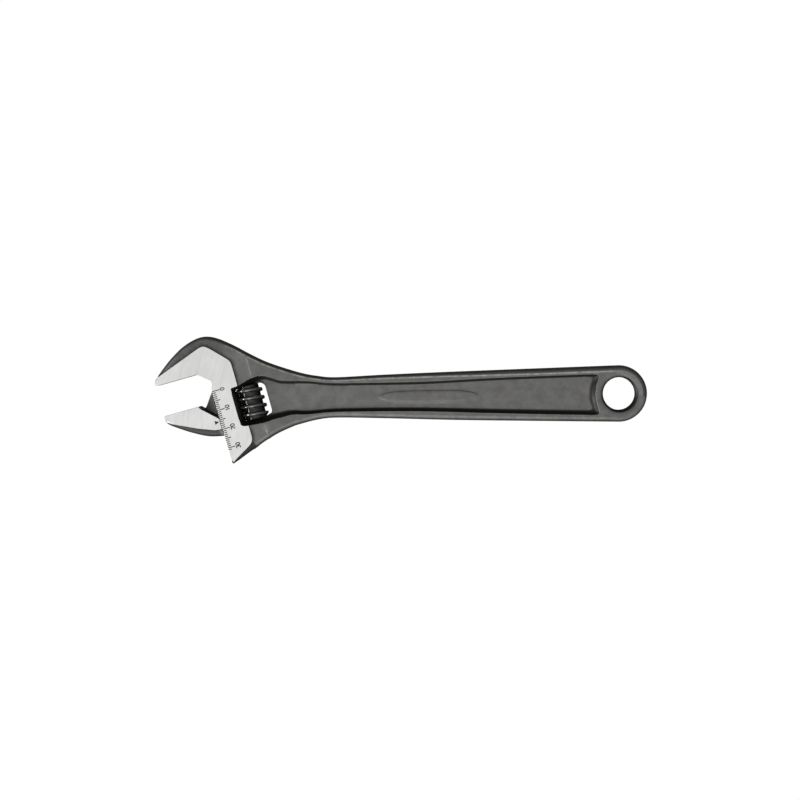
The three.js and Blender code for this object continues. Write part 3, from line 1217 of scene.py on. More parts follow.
@dataclass(frozen=True)
class Graduation:
    """A scale along the plate's front edge: a line at zero and one after each of count steps,
    long, middle or short, with figures beside the long ones."""

    zero: float = -10.55
    step: float = 1.0
    count: int = 31
    short: float = 1.75
    middle: float = 3.0
    long: float = 3.9
    run_out: float = 0.6
    figure_setback: float = 5.35
    figure_height: float = 2.1
    figure_spacing: float = 0.37
    labels: tuple = ((0, "0"), (10, "10"), (20, "20"), (30, "30"))

    def cutters(self, engraving: Engraving) -> list[bpy.types.Object]:
        """Makes every line's and figure's cutter.

        Args:
            engraving: the stroke and the face that it cuts.

        Returns:
            The cutters.
        """
        made = []
        for k in range(self.count + 1):
            length = self.long if k % 10 == 0 else self.middle if k % 5 == 0 else self.short
            y = self.zero - k * self.step
            path = np.array([(-self.run_out, y), (length, y)])
            made.append(engraving.stroke(f"line_{k}", path))
        for k, label in self.labels:
            last = len(label) - 1
            apart = self.figure_spacing * self.figure_height * last
            for n, digit in enumerate(label):
                shift = (n * 2 - last) * apart * engraving.side
                place = (self.figure_setback, self.zero - k * self.step + shift)
                path = engraving.figure(digit, place, self.figure_height)
                made.append(engraving.stroke(f"figure_{k}_{n}", path))
        return made


# ------------------------------------------------------------------ wrench body


@dataclass(frozen=True)
class PaintedLightAndWear:
    """Where the body's black carries painted highlights, partly rubbed wear, and painted shade:
    widths in millimetres, and strengths from 0 to 1. Pairs are where a change begins and ends."""

    lower_side: float = -1.5
    # band: the painted dark band of shade on the rounded edges.
    band_neck: float = 1.4
    band_growth: float = 1.1
    band_run: tuple = (-150, -30)
    band_lower: float = 0.75
    band_ease: float = 0.3
    band_strength: float = 0.6
    # shine, rim and crease: painted highlight lines, partly rubbed wear.
    shine_beside: float = 0.35
    shine_lower: float = 2.0
    shine_width: float = 0.3
    shine_on_head: float = 0.35
    shine_lower_share: float = 0.4
    shine_tail_loss: float = 0.8
    tail_run: tuple = (-8, 3)
    behind_head: tuple = (10, 26)
    rim_width: float = 0.2
    rim_strength: float = 0.25
    crease_width: float = 0.22
    crease_strength: float = 0.8
    crease_clear: tuple = (0.6, 1.6)
    # From here on: painted shade on the pocket's walls, the step's foot, the countersink, the edge
    # line, the heel and the crown.
    floor_reach: float = 1.6
    wall_share: float = 0.88
    wall_extra: float = 0.12
    wall_upper_tail: float = 0.6
    wall_tail_run: tuple = (-17.5, -15)
    wall_ease: tuple = (0.15, 0.3)
    beside_width: float = 0.4
    ring_width: float = 1.05
    ring_lean: float = 0.55
    ring_ease: tuple = (0.35, 0.2)
    edge_line: tuple = (0.2, 0.5)
    edge_line_strength: float = 0.8
    heel_strength: float = 0.93
    heel_back: float = 14
    heel_drop: float = 20
    crown_run: tuple = (4, 14)
    crown_strength: float = 0.22


@dataclass
class Survey:
    """Where each vertex of the body lies, for its painted highlights and its painted shade.

    Attributes:
        plan: place in the row frame, (n, 2).
        high: height off the middle plane.
        back: distance behind the plate's front edge.
        along: place along the handle from the hang hole's middle.
        upper: whether it lies on the handle's upper side.
        forged: whether the nearest edge is a forged one.
        edge: distance to the outline.
        to_rim: distance to the pocket's rim.
        band: width of the painted dark band of shade along the nearest edge.
    """

    plan: np.ndarray
    high: np.ndarray
    back: np.ndarray
    along: np.ndarray
    upper: np.ndarray
    forged: np.ndarray
    edge: np.ndarray
    to_rim: np.ndarray
    band: np.ndarray


@dataclass
class WrenchBody:
    """The forging: I-section handle with its hang hole, head, fixed jaw and ground plate."""

    head: HeadFrame
    sizes: HeadSizes
    hang: np.ndarray
    painted_light_and_wear: PaintedLightAndWear = PaintedLightAndWear()
    tail_radius: float = 14.6
    half_tail: float = 4.3
    half_neck: float = 5.3
    neck_x: float = -145.0
    half_floor: float = 2.1
    hole_radius: float = 8.4
    hole_flare: float = 1.6
    hole_drop: float = 1.2
    edge_radius: float = 1.6
    edge_draft: float = 0.35
    crease: float = 21.5
    slope_length: float = 25.0
    step_width: float = 0.16
    parting: float = 0.15
    ground_chamfer: float = 0.08
    tip_radius: float = 0.3
    flank_run: tuple = (6, 20)
    flank_fall: float = 0.17
    wall_power: float = 1.9
    wall_brow: float = 0.12
    flare_power: float = 1.4
    handle_end: float = -13.6
    panel_x: float = -98
    panel_reach: tuple = (26, 3.1)
    panel_height: float = 0.32
    panel_edge: float = 0.16
    forged_depths: tuple = (0.12, 0.35, 0.6, 0.95, 1.35, 1.75, 2.15, 2.55, 2.9)
    wall_shares: tuple = (0.06, 0.12, 0.3, 0.5, 0.75)
    flare_steps: tuple = (0.3, 0.65, 1.1)
    beside_rim: tuple = (-0.25, -0.5)
    beside_floor: tuple = (0.35, 0.8)
    spot_pitch: float = 1.6
    spot_depth: float = 3.4
    line_gap: float = 0.1
    spot_gap: float = 0.9
    window_bevel: float = 1.3
    slot_margin: float = 0.5

    def on_handle(self, points: list[tuple[float, float]]) -> np.ndarray:
        """Takes points measured from the hang hole into the row frame."""
        return np.asarray(points, float) + self.hang

    def __post_init__(self) -> None:
        """Works out the outline and the lines that the height is built on."""
        place = self.head.place
        reach = self.sizes.jaw_reach
        upper_head = place([
            (-reach, 2.5), (-23.3, 6.2), (-16, 11.75), (-8, 16.1), (0.8, 18.1),
            (8, 16.2), (16, 10.15), (24, 2.6), (32, -4.2),
        ])
        upper_handle = self.on_handle([
            (-165, 13.35), (-155, 11.25), (-145, 10.45), (-120, 11.45), (-79.3, 12.65),
            (-0.51, 14.59),
        ])
        lower_handle = self.on_handle([
            (-0.51, -14.59), (-79.3, -12.65), (-120, -11.15), (-145, -10.45), (-155, -11.25),
            (-165, -13.65),
        ])
        lower_head = place([(34, -39.2), (26, -40.5), (17.9, -43), (6, -47.4), (0, -49.4)])
        upper = spline(np.vstack([upper_head, upper_handle]).tolist(), 0.8)
        lower = spline(np.vstack([lower_handle, lower_head]).tolist(), 0.8)
        tail = arc(self.hang, self.tail_radius, 92, -92, 64)[1:-1]
        throat = place([
            (0, -49.4), (0, -9.5), (1, -7), (1, -5), (-5, 0), (-reach, 0), (-reach, 2.5),
        ])
        throat = spaced(rounded(throat, 0.8, closed=False), 1.2, closed=False)
        self.outline = np.vstack([upper, tail, lower, throat[1:-1]])
        forged = len(upper) + len(tail) + len(lower)
        self.role = np.array([Edge.FORGED] * forged + [Edge.GROUND] * (len(throat) - 2))
        from_tip = np.linalg.norm(self.outline - self.outline[0], axis=1)
        from_heel = np.linalg.norm(self.outline - lower[-1], axis=1)
        ease = smooth_step(np.minimum(from_tip, from_heel + 4), 0, 22)
        self.radius = self.tip_radius + (self.edge_radius - self.tip_radius) * ease
        self.border, self.ground = self._ground_area()
        self.rim, self.floor = self._pocket_lines()

    def _ground_area(self) -> tuple[np.ndarray, np.ndarray]:
        """Works out the ground area, whose loop goes on from its border well outside the
        forging in front.

        Returns:
            The border on the forging, and the loop.
        """
        corners = self.head.place([
            (-26.2, 3.5), (-1.0, 12.6), (1.6, 13.2), (3.9, 11.8), (12.0, 3.4), (13.3, 1.6),
            (13.3, -39.5), (12, -41.7), (2, -47.4), (0.2, -48.8),
        ])
        border = spaced(rounded(corners, 2.4, closed=False, steps=6), 1.0, closed=False)
        outside = self.head.place([(-4, -52), (-34, -4), (-30, 2.0)])
        return border, np.vstack([border, outside])

    def _pocket_lines(self) -> tuple[np.ndarray, np.ndarray]:
        """Works out the pocket's rim and the edge of its floor: splines through their points,
        spaced so that the two match point for point.

        Returns:
            The two loops.
        """
        place, on_handle = self.head.place, self.on_handle
        rim = np.vstack([
            place([
                (9.5, -11.4), (12.6, -11.3), (16, -10.6), (19.5, -9.6), (23, -9.2), (27, -9.7),
                (31, -11.8), (36, -14.8),
            ]),
            on_handle([
                (-160, 8.7), (-148, 7.5), (-130, 7.4), (-100, 7.6), (-60, 9.1), (-14, 10.2),
            ]),
        ])
        floor = np.vstack([
            place([
                (11.5, -15), (15, -14.4), (19, -13.4), (23.4, -12.2), (27, -11.9), (30.6, -13.6),
                (35.4, -16.4),
            ]),
            on_handle([
                (-160, 7.1), (-148, 6.1), (-130, 5.9), (-100, 6.1), (-60, 7.6), (-17, 8.6),
            ]),
        ])
        rim_low = np.vstack([
            on_handle([
                (-14, -10.9), (-60, -9.4), (-100, -7.8), (-130, -7.4), (-148, -7.5),
                (-160, -8.5),
            ]),
            place([
                (37, -33.3), (31, -33.0), (26, -32.9), (20, -33), (14, -32.5), (10.5, -31.9),
                (9.5, -30.8),
            ]),
        ])
        floor_low = np.vstack([
            on_handle([
                (-17, -8.4), (-60, -7.2), (-100, -5.9), (-130, -5.6), (-148, -5.8),
                (-160, -6.6),
            ]),
            place([
                (36.4, -30.8), (31, -30.2), (26, -29.9), (21, -29.6), (15, -28.6),
                (11.5, -27.5),
            ]),
        ])
        rim_tail = on_handle([
            (-14, 10.2), (-11.3, 10.0), (-10.4, 8.6), (-11.6, 4.5), (-12.1, 0), (-11.6, -4.5),
            (-10.4, -9.2), (-11.3, -10.7), (-14, -10.9),
        ])
        floor_tail = on_handle([
            (-17, 8.6), (-14.6, 8.3), (-13.9, 7.0), (-14.9, 3.8), (-15.3, 0), (-14.9, -3.8),
            (-13.9, -7.0), (-14.6, -8.2), (-17, -8.4),
        ])
        pitch, front_points = 1.1, 22
        rims, floors = [], []
        stretches = [(rim, floor, 1.0), (rim_tail, floor_tail, 0.5), (rim_low, floor_low, 1.0)]
        for top, foot, step in stretches:
            top, foot = spline(top.tolist(), step), spline(foot.tolist(), step)
            line = spaced(top, length_of(top) / round(len(top) / pitch), closed=False)
            rims.append(line[:-1])
            floors.append(spaced(foot, length_of(foot) / (len(line) - 1), closed=False)[:-1])
        rims.append(np.linspace(rim_low[-1], rim[0], front_points)[:-1])
        floors.append(np.linspace(floor_low[-1], floor[0], front_points)[:-1])
        return np.vstack(rims), np.vstack(floors)

    def thickness(self, plan: np.ndarray) -> np.ndarray:
        """Gives the forged half thickness: the handle's long taper, or the head's level face
        and its slope where that is greater.

        Args:
            plan: (n, 2) row-frame points.

        Returns:
            Heights above the middle plane.
        """
        x = plan[:, 0] - self.hang[0]
        handle = np.interp(x, [self.neck_x, self.handle_end], [self.half_neck, self.half_tail])
        back = self.head.local(plan)[:, 0]
        fall = (self.sizes.half_forged - self.half_neck) / self.slope_length
        level = self.sizes.half_forged - fall * np.maximum(back - self.crease, 0)
        return smooth_max(handle, level, 0.25)

    def edge_fall(self, plan: np.ndarray, top: np.ndarray) -> np.ndarray:
        """Gives how far the face falls near the outline: a draft, then a quarter round on
        forged edges, and a small chamfer on ground ones.

        Args:
            plan: (n, 2) points.
            top: the height there without the fall.

        Returns:
            The fall, zero away from the rim.
        """
        depth, index = nearest(plan, self.outline, closed=True)
        radius = self.radius[index]
        round_fall = quarter_round(np.clip(depth - self.edge_draft, 0, radius), radius)
        draft = (top - self.parting - radius) * np.clip(1 - depth / self.edge_draft, 0, 1)
        chamfer = np.maximum(self.ground_chamfer - depth, 0)
        return np.where(self.role[index] == Edge.FORGED, round_fall + draft, chamfer)

    def height(self, plan: np.ndarray) -> np.ndarray:
        """Gives the finished half thickness at each point of the plan.

        The forged face falls away across the jaw's flank; the ground area stands above it by a
        crisp step; the pocket drops from its rim to its floor along a concave wall, whose
        share is rim distance / (rim distance + floor distance); the hang hole is countersunk.

        Args:
            plan: (n, 2) points.

        Returns:
            Heights above the middle plane.
        """
        face = self.thickness(plan)
        border = depth_in(plan, self.ground)
        back = self.head.local(plan)[:, 0]
        outside = np.maximum(-border, 0)
        face = face - (1 - smooth_step(back, *self.flank_run)) * self.flank_fall * outside
        share = np.clip(1 + border / self.step_width, 0, 1)
        face = face + (self.sizes.half_ground - face) * share
        face = face - self.edge_fall(plan, face)
        to_rim, _ = nearest(plan, self.rim, closed=True)
        to_floor, _ = nearest(plan, self.floor, closed=True)
        way = np.where(within(plan, self.rim), to_rim / np.maximum(to_rim + to_floor, TINY), 0)
        way = np.where(within(plan, self.floor), 1, way)
        wall = smooth_step(way, 0, self.wall_brow) * (1 - (1 - way) ** self.wall_power)
        face = face + (self.half_floor + self.panel(plan) - face) * wall
        out = np.linalg.norm(plan - self.hang, axis=1) - self.hole_radius
        flare = np.clip(1 - out / self.hole_flare, 0, 1)
        return face - self.hole_drop * flare**self.flare_power

    def panel(self, plan: np.ndarray) -> np.ndarray:
        """Gives the plain raised panel on the pocket floor, a long oval with a soft edge.

        Args:
            plan: (n, 2) points.

        Returns:
            Its height above the floor.
        """
        half_long, half_wide = self.panel_reach
        x = plan[:, 0] - self.hang[0] - self.panel_x
        y = plan[:, 1] - self.hang[1]
        reach = 1 - np.sqrt((np.abs(x) / half_long) ** 4 + (np.abs(y) / half_wide) ** 2)
        return self.panel_height * smooth_step(reach, 0.0, self.panel_edge)

    def build(self, palette: Palette) -> bpy.types.Object:
        """Makes the relief, cuts it and dresses it.

        Args:
            palette: the shared finishes.

        Returns:
            The finished body.
        """
        forged = self.role == Edge.FORGED
        land = np.where(forged, self.parting, self.sizes.half_ground - self.ground_chamfer)
        border = self.border[depth_in(self.border, self.outline) > 0.35]
        foot = border + leftward(border) * self.step_width
        crease = self._crease_lines()
        hole = circle(self.hang, self.hole_radius, 96)
        steps = [*self.flare_steps, self.hole_flare]
        flares = [circle(self.hang, self.hole_radius + out, 96) for out in steps]
        lines = [(self.rim, True), (self.floor, True), (border, False), (foot, False)]
        lines += [(ring, True) for ring in [*flares, hole]] + [(line, False) for line in crease]
        beside = inset_seeds(self.outline, self.forged_depths, forged)
        beside += inset_seeds(self.outline, [self.ground_chamfer], ~forged)
        every = np.ones(len(self.rim), bool)
        beside += inset_seeds(self.rim, self.beside_rim, every)
        beside += inset_seeds(self.floor, self.beside_floor, every)
        spots = hexagon_seeds(self.outline.min(0), self.outline.max(0), self.spot_pitch)
        spots = spots[depth_in(spots, self.outline) > self.spot_depth]
        on_wall = within(spots, self.rim) & ~within(spots, self.floor)
        relief = Relief(
            "wrench_body_finished",
            self.outline,
            land,
            self.height,
            self.head.middle,
            holes=[hole],
            loops=[self.rim, self.floor, *flares],
            lines=[border, foot, *crease],
            seeds=[
                *[clear_of(seeds, lines, self.line_gap) for seeds in beside],
                clear_of(spots[~on_wall], lines, self.spot_gap),
                self._panel_seeds(),
                *[self.rim * (1 - t) + self.floor * t for t in self.wall_shares],
            ],
        )
        body = relief.build()
        self._cut(body)
        finish_faces(body)
        self._dress(body, palette)
        return body

    def _crease_lines(self) -> list[np.ndarray]:
        """Gives the two stretches of crease, above and below the pocket, each with a line close
        by on either side.

        Returns:
            Six open lines.
        """
        lines = []
        for high, low in ((2.2, -8.4), (-34.2, -39.0)):
            for shift in (-0.3, 0, 0.3):
                line = np.array([(self.crease + shift, high), (self.crease + shift, low)])
                lines.append(spaced(self.head.place(line), 0.9, closed=False))
        return lines

    def _panel_seeds(self) -> np.ndarray:
        """Gives points on nested ovals that carry the raised panel's edge: on each, x is half
        the length times sin t, and y half the width times the root of 1 - sin⁴ t.

        Returns:
            An (n, 2) array.
        """
        half_long, half_wide = self.panel_reach
        t = np.sin(np.linspace(-np.pi / 2, np.pi / 2, 110))
        ovals = []
        for level in (1.0, 0.96, 0.92, 0.88, 0.84):
            x = half_long * t * math.sqrt(level) + self.panel_x
            y = half_wide * level * np.sqrt(1 - t**4)
            ovals += [np.column_stack([x, y]) + self.hang, np.column_stack([x, -y]) + self.hang]
        return np.vstack(ovals)

    def _cut(self, body: bpy.types.Object) -> None:
        """Cuts the window, the web's slot, the shank's bore, the pin's holes and the scale.

        Args:
            body: the solid that is cut.
        """
        s = self.sizes
        place = self.head.place
        middle = self.head.middle
        top = s.knurl_middle + s.knurl_length / 2 + s.thrust_play
        bottom = s.knurl_middle - s.knurl_length / 2 - s.thrust_play
        edge, bevel = s.plate_width, self.window_bevel
        ledge = s.knurl_setback + 5.8
        front = rounded(place([
            (ledge, top), (edge + 2 * bevel, top), (edge + bevel, top - bevel),
            (edge, top - 1.5), (edge, bottom + 1.5), (edge + bevel, bottom + bevel),
            (edge + 2 * bevel, bottom), (ledge, bottom),
        ]), 0.7, closed=False)
        rear = rounded(place([
            (s.window_back - 0.6, s.window_bottom + 1.1), (s.window_back, s.window_bottom + 2),
            (s.window_back, -s.window_drop - 2.2), (s.window_back - 1.6, -s.window_drop - 0.7),
        ]), 1.2, closed=False)
        half_window = 12
        window = prism(
            "window", np.vstack([front, rear]), middle - half_window, middle + half_window
        )
        combine(body, window, "DIFFERENCE")
        half_slot = s.half_web + s.slide_gap
        margin, ceiling = self.slot_margin, s.shank_rise + self.slot_margin
        crest = [(x - margin, y + margin) for x, y in WEB_CREST]
        slot = place([
            (crest[0][0], -OVERRUN), *crest, (s.shank_setback, ceiling),
            (s.shank_setback, -OVERRUN),
        ])
        combine(body, prism("slot", slot, middle - half_slot, middle + half_slot), "DIFFERENCE")
        pin_radius, head_radius = s.pin_radius + s.pin_gap, s.pin_head_radius + s.pin_gap
        within_window = -21
        bars = [
            ("bore", s.shank_radius + s.slide_gap, s.shank_setback, -OVERRUN, ceiling),
            ("pin_socket", pin_radius, s.knurl_setback, within_window, s.pin_top + s.pin_gap),
            ("pin_hole", pin_radius, s.knurl_setback, s.pin_step - 1, within_window),
            ("pin_mouth", head_radius, s.knurl_setback, -60, s.pin_step + s.pin_gap),
        ]
        for name, radius, x, low, high in bars:
            combine(body, s.head_bar(self.head, name, radius, x, low, high), "DIFFERENCE")
        cutters = []
        for side in (1, -1):
            cutters += Graduation().cutters(Engraving(self.head, s.half_ground, side))
        combine(body, joined(cutters), "DIFFERENCE")

    def _dress(self, body: bpy.types.Object, palette: Palette) -> None:
        """Gives the forging its black, the ground faces their bright steel, and stores painted
        highlights, partly edge wear, and painted shade.

        Args:
            body: the finished solid.
            palette: the shared finishes.
        """
        give_finishes(body, palette.forging, palette.ground)
        middle, normal = face_frames(body.data)
        rise = np.abs(middle[:, 2] - self.head.middle)
        upright = np.abs(normal[:, 2])
        side, index = nearest(middle[:, :2], self.outline, closed=True)
        in_front = self.head.local(middle[:, :2])[:, 0] < 1.4
        on_wall = (side < 0.3) & (self.role[index] == Edge.GROUND) & (upright < 0.9) & in_front
        bright = ground_faces(rise, upright, self.sizes.half_ground) | on_wall
        body.data.polygons.foreach_set("material_index", bright.astype(np.int32))
        survey = self._survey(read_points(body.data))
        # Stores the painted highlights, partly rubbed wear, that the finish lays over the black.
        store(body, "wear_and_highlight", self._wear_and_highlight(survey))
        # Stores the painted shade, with the real dark fill of the engraving, that darkens the
        # black.
        store(body, "painted_shade_and_grime", self._painted_shade_and_grime(survey))

    def _survey(self, points: np.ndarray) -> Survey:
        """Measures where each vertex lies.

        Args:
            points: (n, 3) vertices.

        Returns:
            Their survey.
        """
        p = self.painted_light_and_wear
        plan = points[:, :2]
        edge, index = nearest(plan, self.outline, closed=True)
        to_rim, _ = nearest(plan, self.rim, closed=True)
        along = plan[:, 0] - self.hang[0]
        upper = plan[:, 1] > self.hang[1] + p.lower_side
        upper_band = p.band_neck + p.band_growth * smooth_step(along, *p.band_run)
        return Survey(
            plan=plan,
            high=np.abs(points[:, 2] - self.head.middle),
            back=self.head.local(plan)[:, 0],
            along=along,
            upper=upper,
            forged=self.role[index] == Edge.FORGED,
            edge=edge,
            to_rim=to_rim,
            band=np.where(upper, upper_band, p.band_lower),
        )

    def _wear_and_highlight(self, at: Survey) -> np.ndarray:
        """Gives the painted highlights, partly real rubbed wear: a line beside the painted dark
        band of the rounding, the pocket's rim and the crease, each a bell across its line, and only
        on the upper and lower faces.

        Args:
            at: the vertices' survey.

        Returns:
            A value from 0 to 1 for each.
        """
        p = self.painted_light_and_wear
        top = self.thickness(at.plan)
        near_top = at.high > top - 0.3
        behind = smooth_step(at.back, *p.behind_head)
        line = np.where(at.upper, at.band + p.shine_beside, p.shine_lower)
        strength = p.shine_on_head + (1 - p.shine_on_head) * behind
        strength = strength * np.where(at.upper, 1, p.shine_lower_share)
        strength = strength * (1 - p.shine_tail_loss * smooth_step(at.along, *p.tail_run))
        # shine, rim and crease are painted highlight lines along edges and slope changes, partly
        # rubbed wear.
        shine = bell(at.edge - line, p.shine_width) * (at.high > top - 0.5) * at.forged
        rim = bell(at.to_rim, p.rim_width) * near_top * p.rim_strength
        crease = bell(at.back - self.crease, p.crease_width) * near_top
        clear = smooth_step(np.minimum(at.to_rim, at.edge), *p.crease_clear)
        crease = crease * clear * p.crease_strength
        return np.maximum.reduce([rim * behind, shine * strength, crease])

    def _painted_shade_and_grime(self, at: Survey) -> np.ndarray:
        """Gives the painted shade: on the pocket's wall and foot, beside the ground area, behind
        the knurl, round the hang hole, on the rounded edges, the head's lower edge and the fixed
        jaw's flank; and the real dark fill in everything engraved.

        Args:
            at: the vertices' survey.

        Returns:
            A value from 0 to 1 for each.
        """
        p = self.painted_light_and_wear
        # Every term but the engraved one is painted shade: the pocket's steep walls, the ground
        # step's foot, the walls round the knurl, the countersink (wider on the side away from the
        # light), the rounded edges, the very edge, the head's lower edge and the fixed jaw's flank.
        to_floor, _ = nearest(at.plan, self.floor, closed=True)
        in_pocket = within(at.plan, self.rim)
        on_floor = within(at.plan, self.floor)
        down = at.to_rim / np.maximum(at.to_rim + to_floor, TINY)
        share = np.where(on_floor, 1 + to_floor / p.floor_reach, down)
        at_tail = smooth_step(at.along, *p.wall_tail_run) * p.wall_upper_tail
        reach = p.wall_share + p.wall_extra * np.maximum(~at.upper, at_tail)
        before, after = p.wall_ease
        wall = 1 - smooth_step(share, reach - before, reach + after)
        wall = in_pocket * (at.to_rim > 0.02) * wall
        out = -depth_in(at.plan, self.ground)
        outside = out > 0
        step_foot = bell(out, p.beside_width) * outside * (at.high > 4)
        by_knurl = smooth_step(self.sizes.window_back - at.back, -1, 2) * in_pocket
        offset = at.plan - self.hang
        radius = np.linalg.norm(offset, axis=1)
        facing = (offset[:, 0] - offset[:, 1]) / np.maximum(radius, TINY) / math.sqrt(2)
        width = p.ring_width + p.ring_lean * facing
        before, after = p.ring_ease
        ring = 1 - smooth_step(radius - self.hole_radius, width - before, width + after)
        low, high = at.band - p.band_ease, at.band + p.band_ease
        rounding = at.forged * (1 - smooth_step(at.edge, low, high)) * p.band_strength
        line = at.forged * (1 - smooth_step(at.edge, *p.edge_line)) * p.edge_line_strength
        low_side = at.plan[:, 1] < self.hang[1] - p.heel_drop
        heel = at.forged * (at.back < p.heel_back) * low_side * p.heel_strength
        crown = (1 - smooth_step(at.back, *p.crown_run)) * outside * p.crown_strength
        engraved = (out < -0.25) & (at.high < self.sizes.half_ground - 0.05)
        engraved &= (at.high > 7) & (at.edge > 0.4)
        return np.maximum.reduce(
            [wall, step_foot, by_knurl, ring, rounding, line, heel, crown, engraved * 1.0]
        )


# ------------------------------------------------------------------ movable jaw


@dataclass
class MovableJaw:
    """The lower jaw with its web and its round shank of inclined rack teeth."""

    head: HeadFrame
    sizes: HeadSizes
    parting: float = 0.15
    chamfer: float = 0.14
    back_slope: float = 1.3
    heel_radius: float = 1.3
    edge_draft: float = 0.3
    flank_drop: float = 0.25
    flank_fall: float = 0.22
    step_width: float = 0.16
    groove_half: float = 0.74
    groove_flank: float = 0.45
    shank_chamfer: float = 0.5
    shank_rows: int = 361
    shank_columns: int = 120
    arrow_depth: float = 0.14
    forged_depths: tuple = (0.15, 0.3, 0.45, 0.7, 1.0, 1.3, 1.6)
    sloped_depth: float = 0.65
    ground_depth: float = 0.7
    spot_pitch: float = 1.3
    spot_depth: float = 1.9
    line_gap: float = 0.25
    spot_gap: float = 0.4
    heel_wear_and_highlight: float = 0.35
    heel_wear_and_highlight_depth: float = 1.5
    foot_width: float = 0.4
    flank_shade: float = 0.8

    def __post_init__(self) -> None:
        """Works out the outline of the thick part and the lines that its height is built on,
        in the head frame with the jaw shut and then moved to where it rests."""
        reach = self.sizes.jaw_reach
        face = np.array([(-reach + 1.2, 0.0), (-8.0, 0.0)])
        back = np.array([(-8.0, 0.0), (-7.0, -0.9), (-0.3, -7.2)])
        side = np.array([(-0.3, -7.2), (-0.3, -18.2)])
        heel = spline([
            (-0.3, -18.2), (-8, -16.3), (-16, -12.2), (-24, -6.8), (-reach + 0.4, -4.2),
            (-reach, -2.4),
        ], 0.7)
        tip = spline([
            (-reach, -2.4), (-reach + 0.05, -1.1), (-reach + 0.45, -0.25), (-reach + 1.2, 0),
        ], 0.4)
        runs = [
            (spaced(face, 1.2, closed=False), Edge.GROUND),
            (spaced(back, 0.8, closed=False), Edge.SLOPED),
            (spaced(side, 1.0, closed=False), Edge.GROUND),
            (heel, Edge.FORGED),
            (tip, Edge.GROUND),
        ]
        self.role = np.concatenate([[role] * (len(line) - 1) for line, role in runs])
        self.outline = self.at_rest(np.vstack([line[:-1] for line, _ in runs]))
        ground = np.array([
            (-34, 6), (-34, -0.4), (-27.2, -2.9), (-24.2, -5.0), (-12, -10.8), (-4, -13.9),
            (4, -15.0), (4, 6),
        ])
        self.ground = self.at_rest(ground)
        self.border = self.at_rest(spaced(ground[2:7], 0.9, closed=False))
        self.back_line = self.at_rest([(-9.3, 2.4), (-7.0, -0.9), (-0.3, -7.2), (1.2, -8.6)])

    def at_rest(self, points: np.ndarray | list) -> np.ndarray:
        """Takes (n, 2) points of the shut jaw into the row frame, where the jaw rests open."""
        return self.head.place(np.asarray(points, float) - [0, self.sizes.opening])

    def height(self, plan: np.ndarray) -> np.ndarray:
        """Gives the thick part's half thickness: ground above its border, forged and falling
        below it, with a slope down to the web behind the face.

        Args:
            plan: (n, 2) points.

        Returns:
            Heights above the middle plane.
        """
        s = self.sizes
        border = depth_in(plan, self.ground)
        face = s.half_forged - self.flank_drop - self.flank_fall * np.maximum(-border, 0)
        share = np.clip(1 + border / self.step_width, 0, 1)
        face = face + (s.half_ground - face) * share
        depth, index = nearest(plan, self.outline, closed=True)
        role = self.role[index]
        inside = np.clip(depth - self.edge_draft, 0, self.heel_radius)
        bulge = quarter_round(inside, self.heel_radius)
        above = face - self.parting - self.heel_radius
        draft = above * np.clip(1 - depth / self.edge_draft, 0, 1)
        chamfer = np.maximum(self.chamfer - depth, 0)
        fall = np.where(role == Edge.FORGED, bulge + draft, chamfer)
        return np.minimum(face - np.where(role == Edge.SLOPED, 0, fall), self.ramp(plan))

    def ramp(self, plan: np.ndarray) -> np.ndarray:
        """Gives the slope down to the web: its height grows with the distance from the back
        line, which runs on past both ends of the jaw's back.

        Args:
            plan: (n, 2) points.

        Returns:
            Heights above the middle plane.
        """
        s = self.sizes
        foot = s.half_web - 0.2
        distance, _ = nearest(plan, self.back_line, closed=False)
        return foot + (s.half_ground - foot) * distance / self.back_slope

    def thick_part(self) -> bpy.types.Object:
        """Makes the jaw's thick part as a relief.

        Returns:
            The closed solid.
        """
        s = self.sizes
        heights = {
            Edge.FORGED: self.parting,
            Edge.GROUND: s.half_ground - self.chamfer,
            Edge.SLOPED: s.half_web - 0.4,
        }
        land = np.array([heights[role] for role in self.role])
        land = np.minimum(land, self.ramp(self.outline) - 0.2)
        border = self.border[depth_in(self.border, self.outline) > 0.5]
        foot = border - leftward(border) * self.step_width
        dense = spaced(self.back_line, 0.45, closed=False)
        brow = dense - leftward(dense) * self.back_slope
        gap, _ = nearest(brow, self.back_line, closed=False)
        brow = brow[(depth_in(brow, self.outline) > 0.2) & (gap > 0.99 * self.back_slope)]
        lines = [(border, False), (foot, False), (brow, False)]
        forged = self.role == Edge.FORGED
        sloped = self.role == Edge.SLOPED
        beside = inset_seeds(self.outline, self.forged_depths, forged)
        beside += inset_seeds(self.outline, [self.sloped_depth], sloped)
        flat = ~forged & ~sloped
        beside += inset_seeds(self.outline, [self.chamfer, self.ground_depth], flat)
        spots = hexagon_seeds(self.outline.min(0), self.outline.max(0), self.spot_pitch)
        spots = spots[depth_in(spots, self.outline) > self.spot_depth]
        spots = clear_of(spots, lines, self.spot_gap)
        relief = Relief(
            "movable_jaw_finished",
            self.outline,
            land,
            self.height,
            self.head.middle,
            lines=[border, foot, brow],
            seeds=[*[clear_of(seeds, lines, self.line_gap) for seeds in beside], spots],
        )
        return relief.build()

    def web(self) -> bpy.types.Object:
        """Makes the web: a plain prism from inside the thick part to inside the shank.

        Returns:
            The closed solid.
        """
        s = self.sizes
        top, bottom = s.shank_rise - 0.6, -s.shank_drop + 0.4
        corners = [
            (-8.4, -2.6), (-6.2, -2.0), *WEB_CREST, (s.shank_setback, top),
            (s.shank_setback, bottom), (1, bottom), (0.3, -17.6), (-4, -14.6), (-9, -4),
        ]
        loop = self.at_rest(rounded(np.array(corners), 0.5, closed=True))
        middle = self.head.middle
        return prism("web", loop, middle - s.half_web, middle + s.half_web)

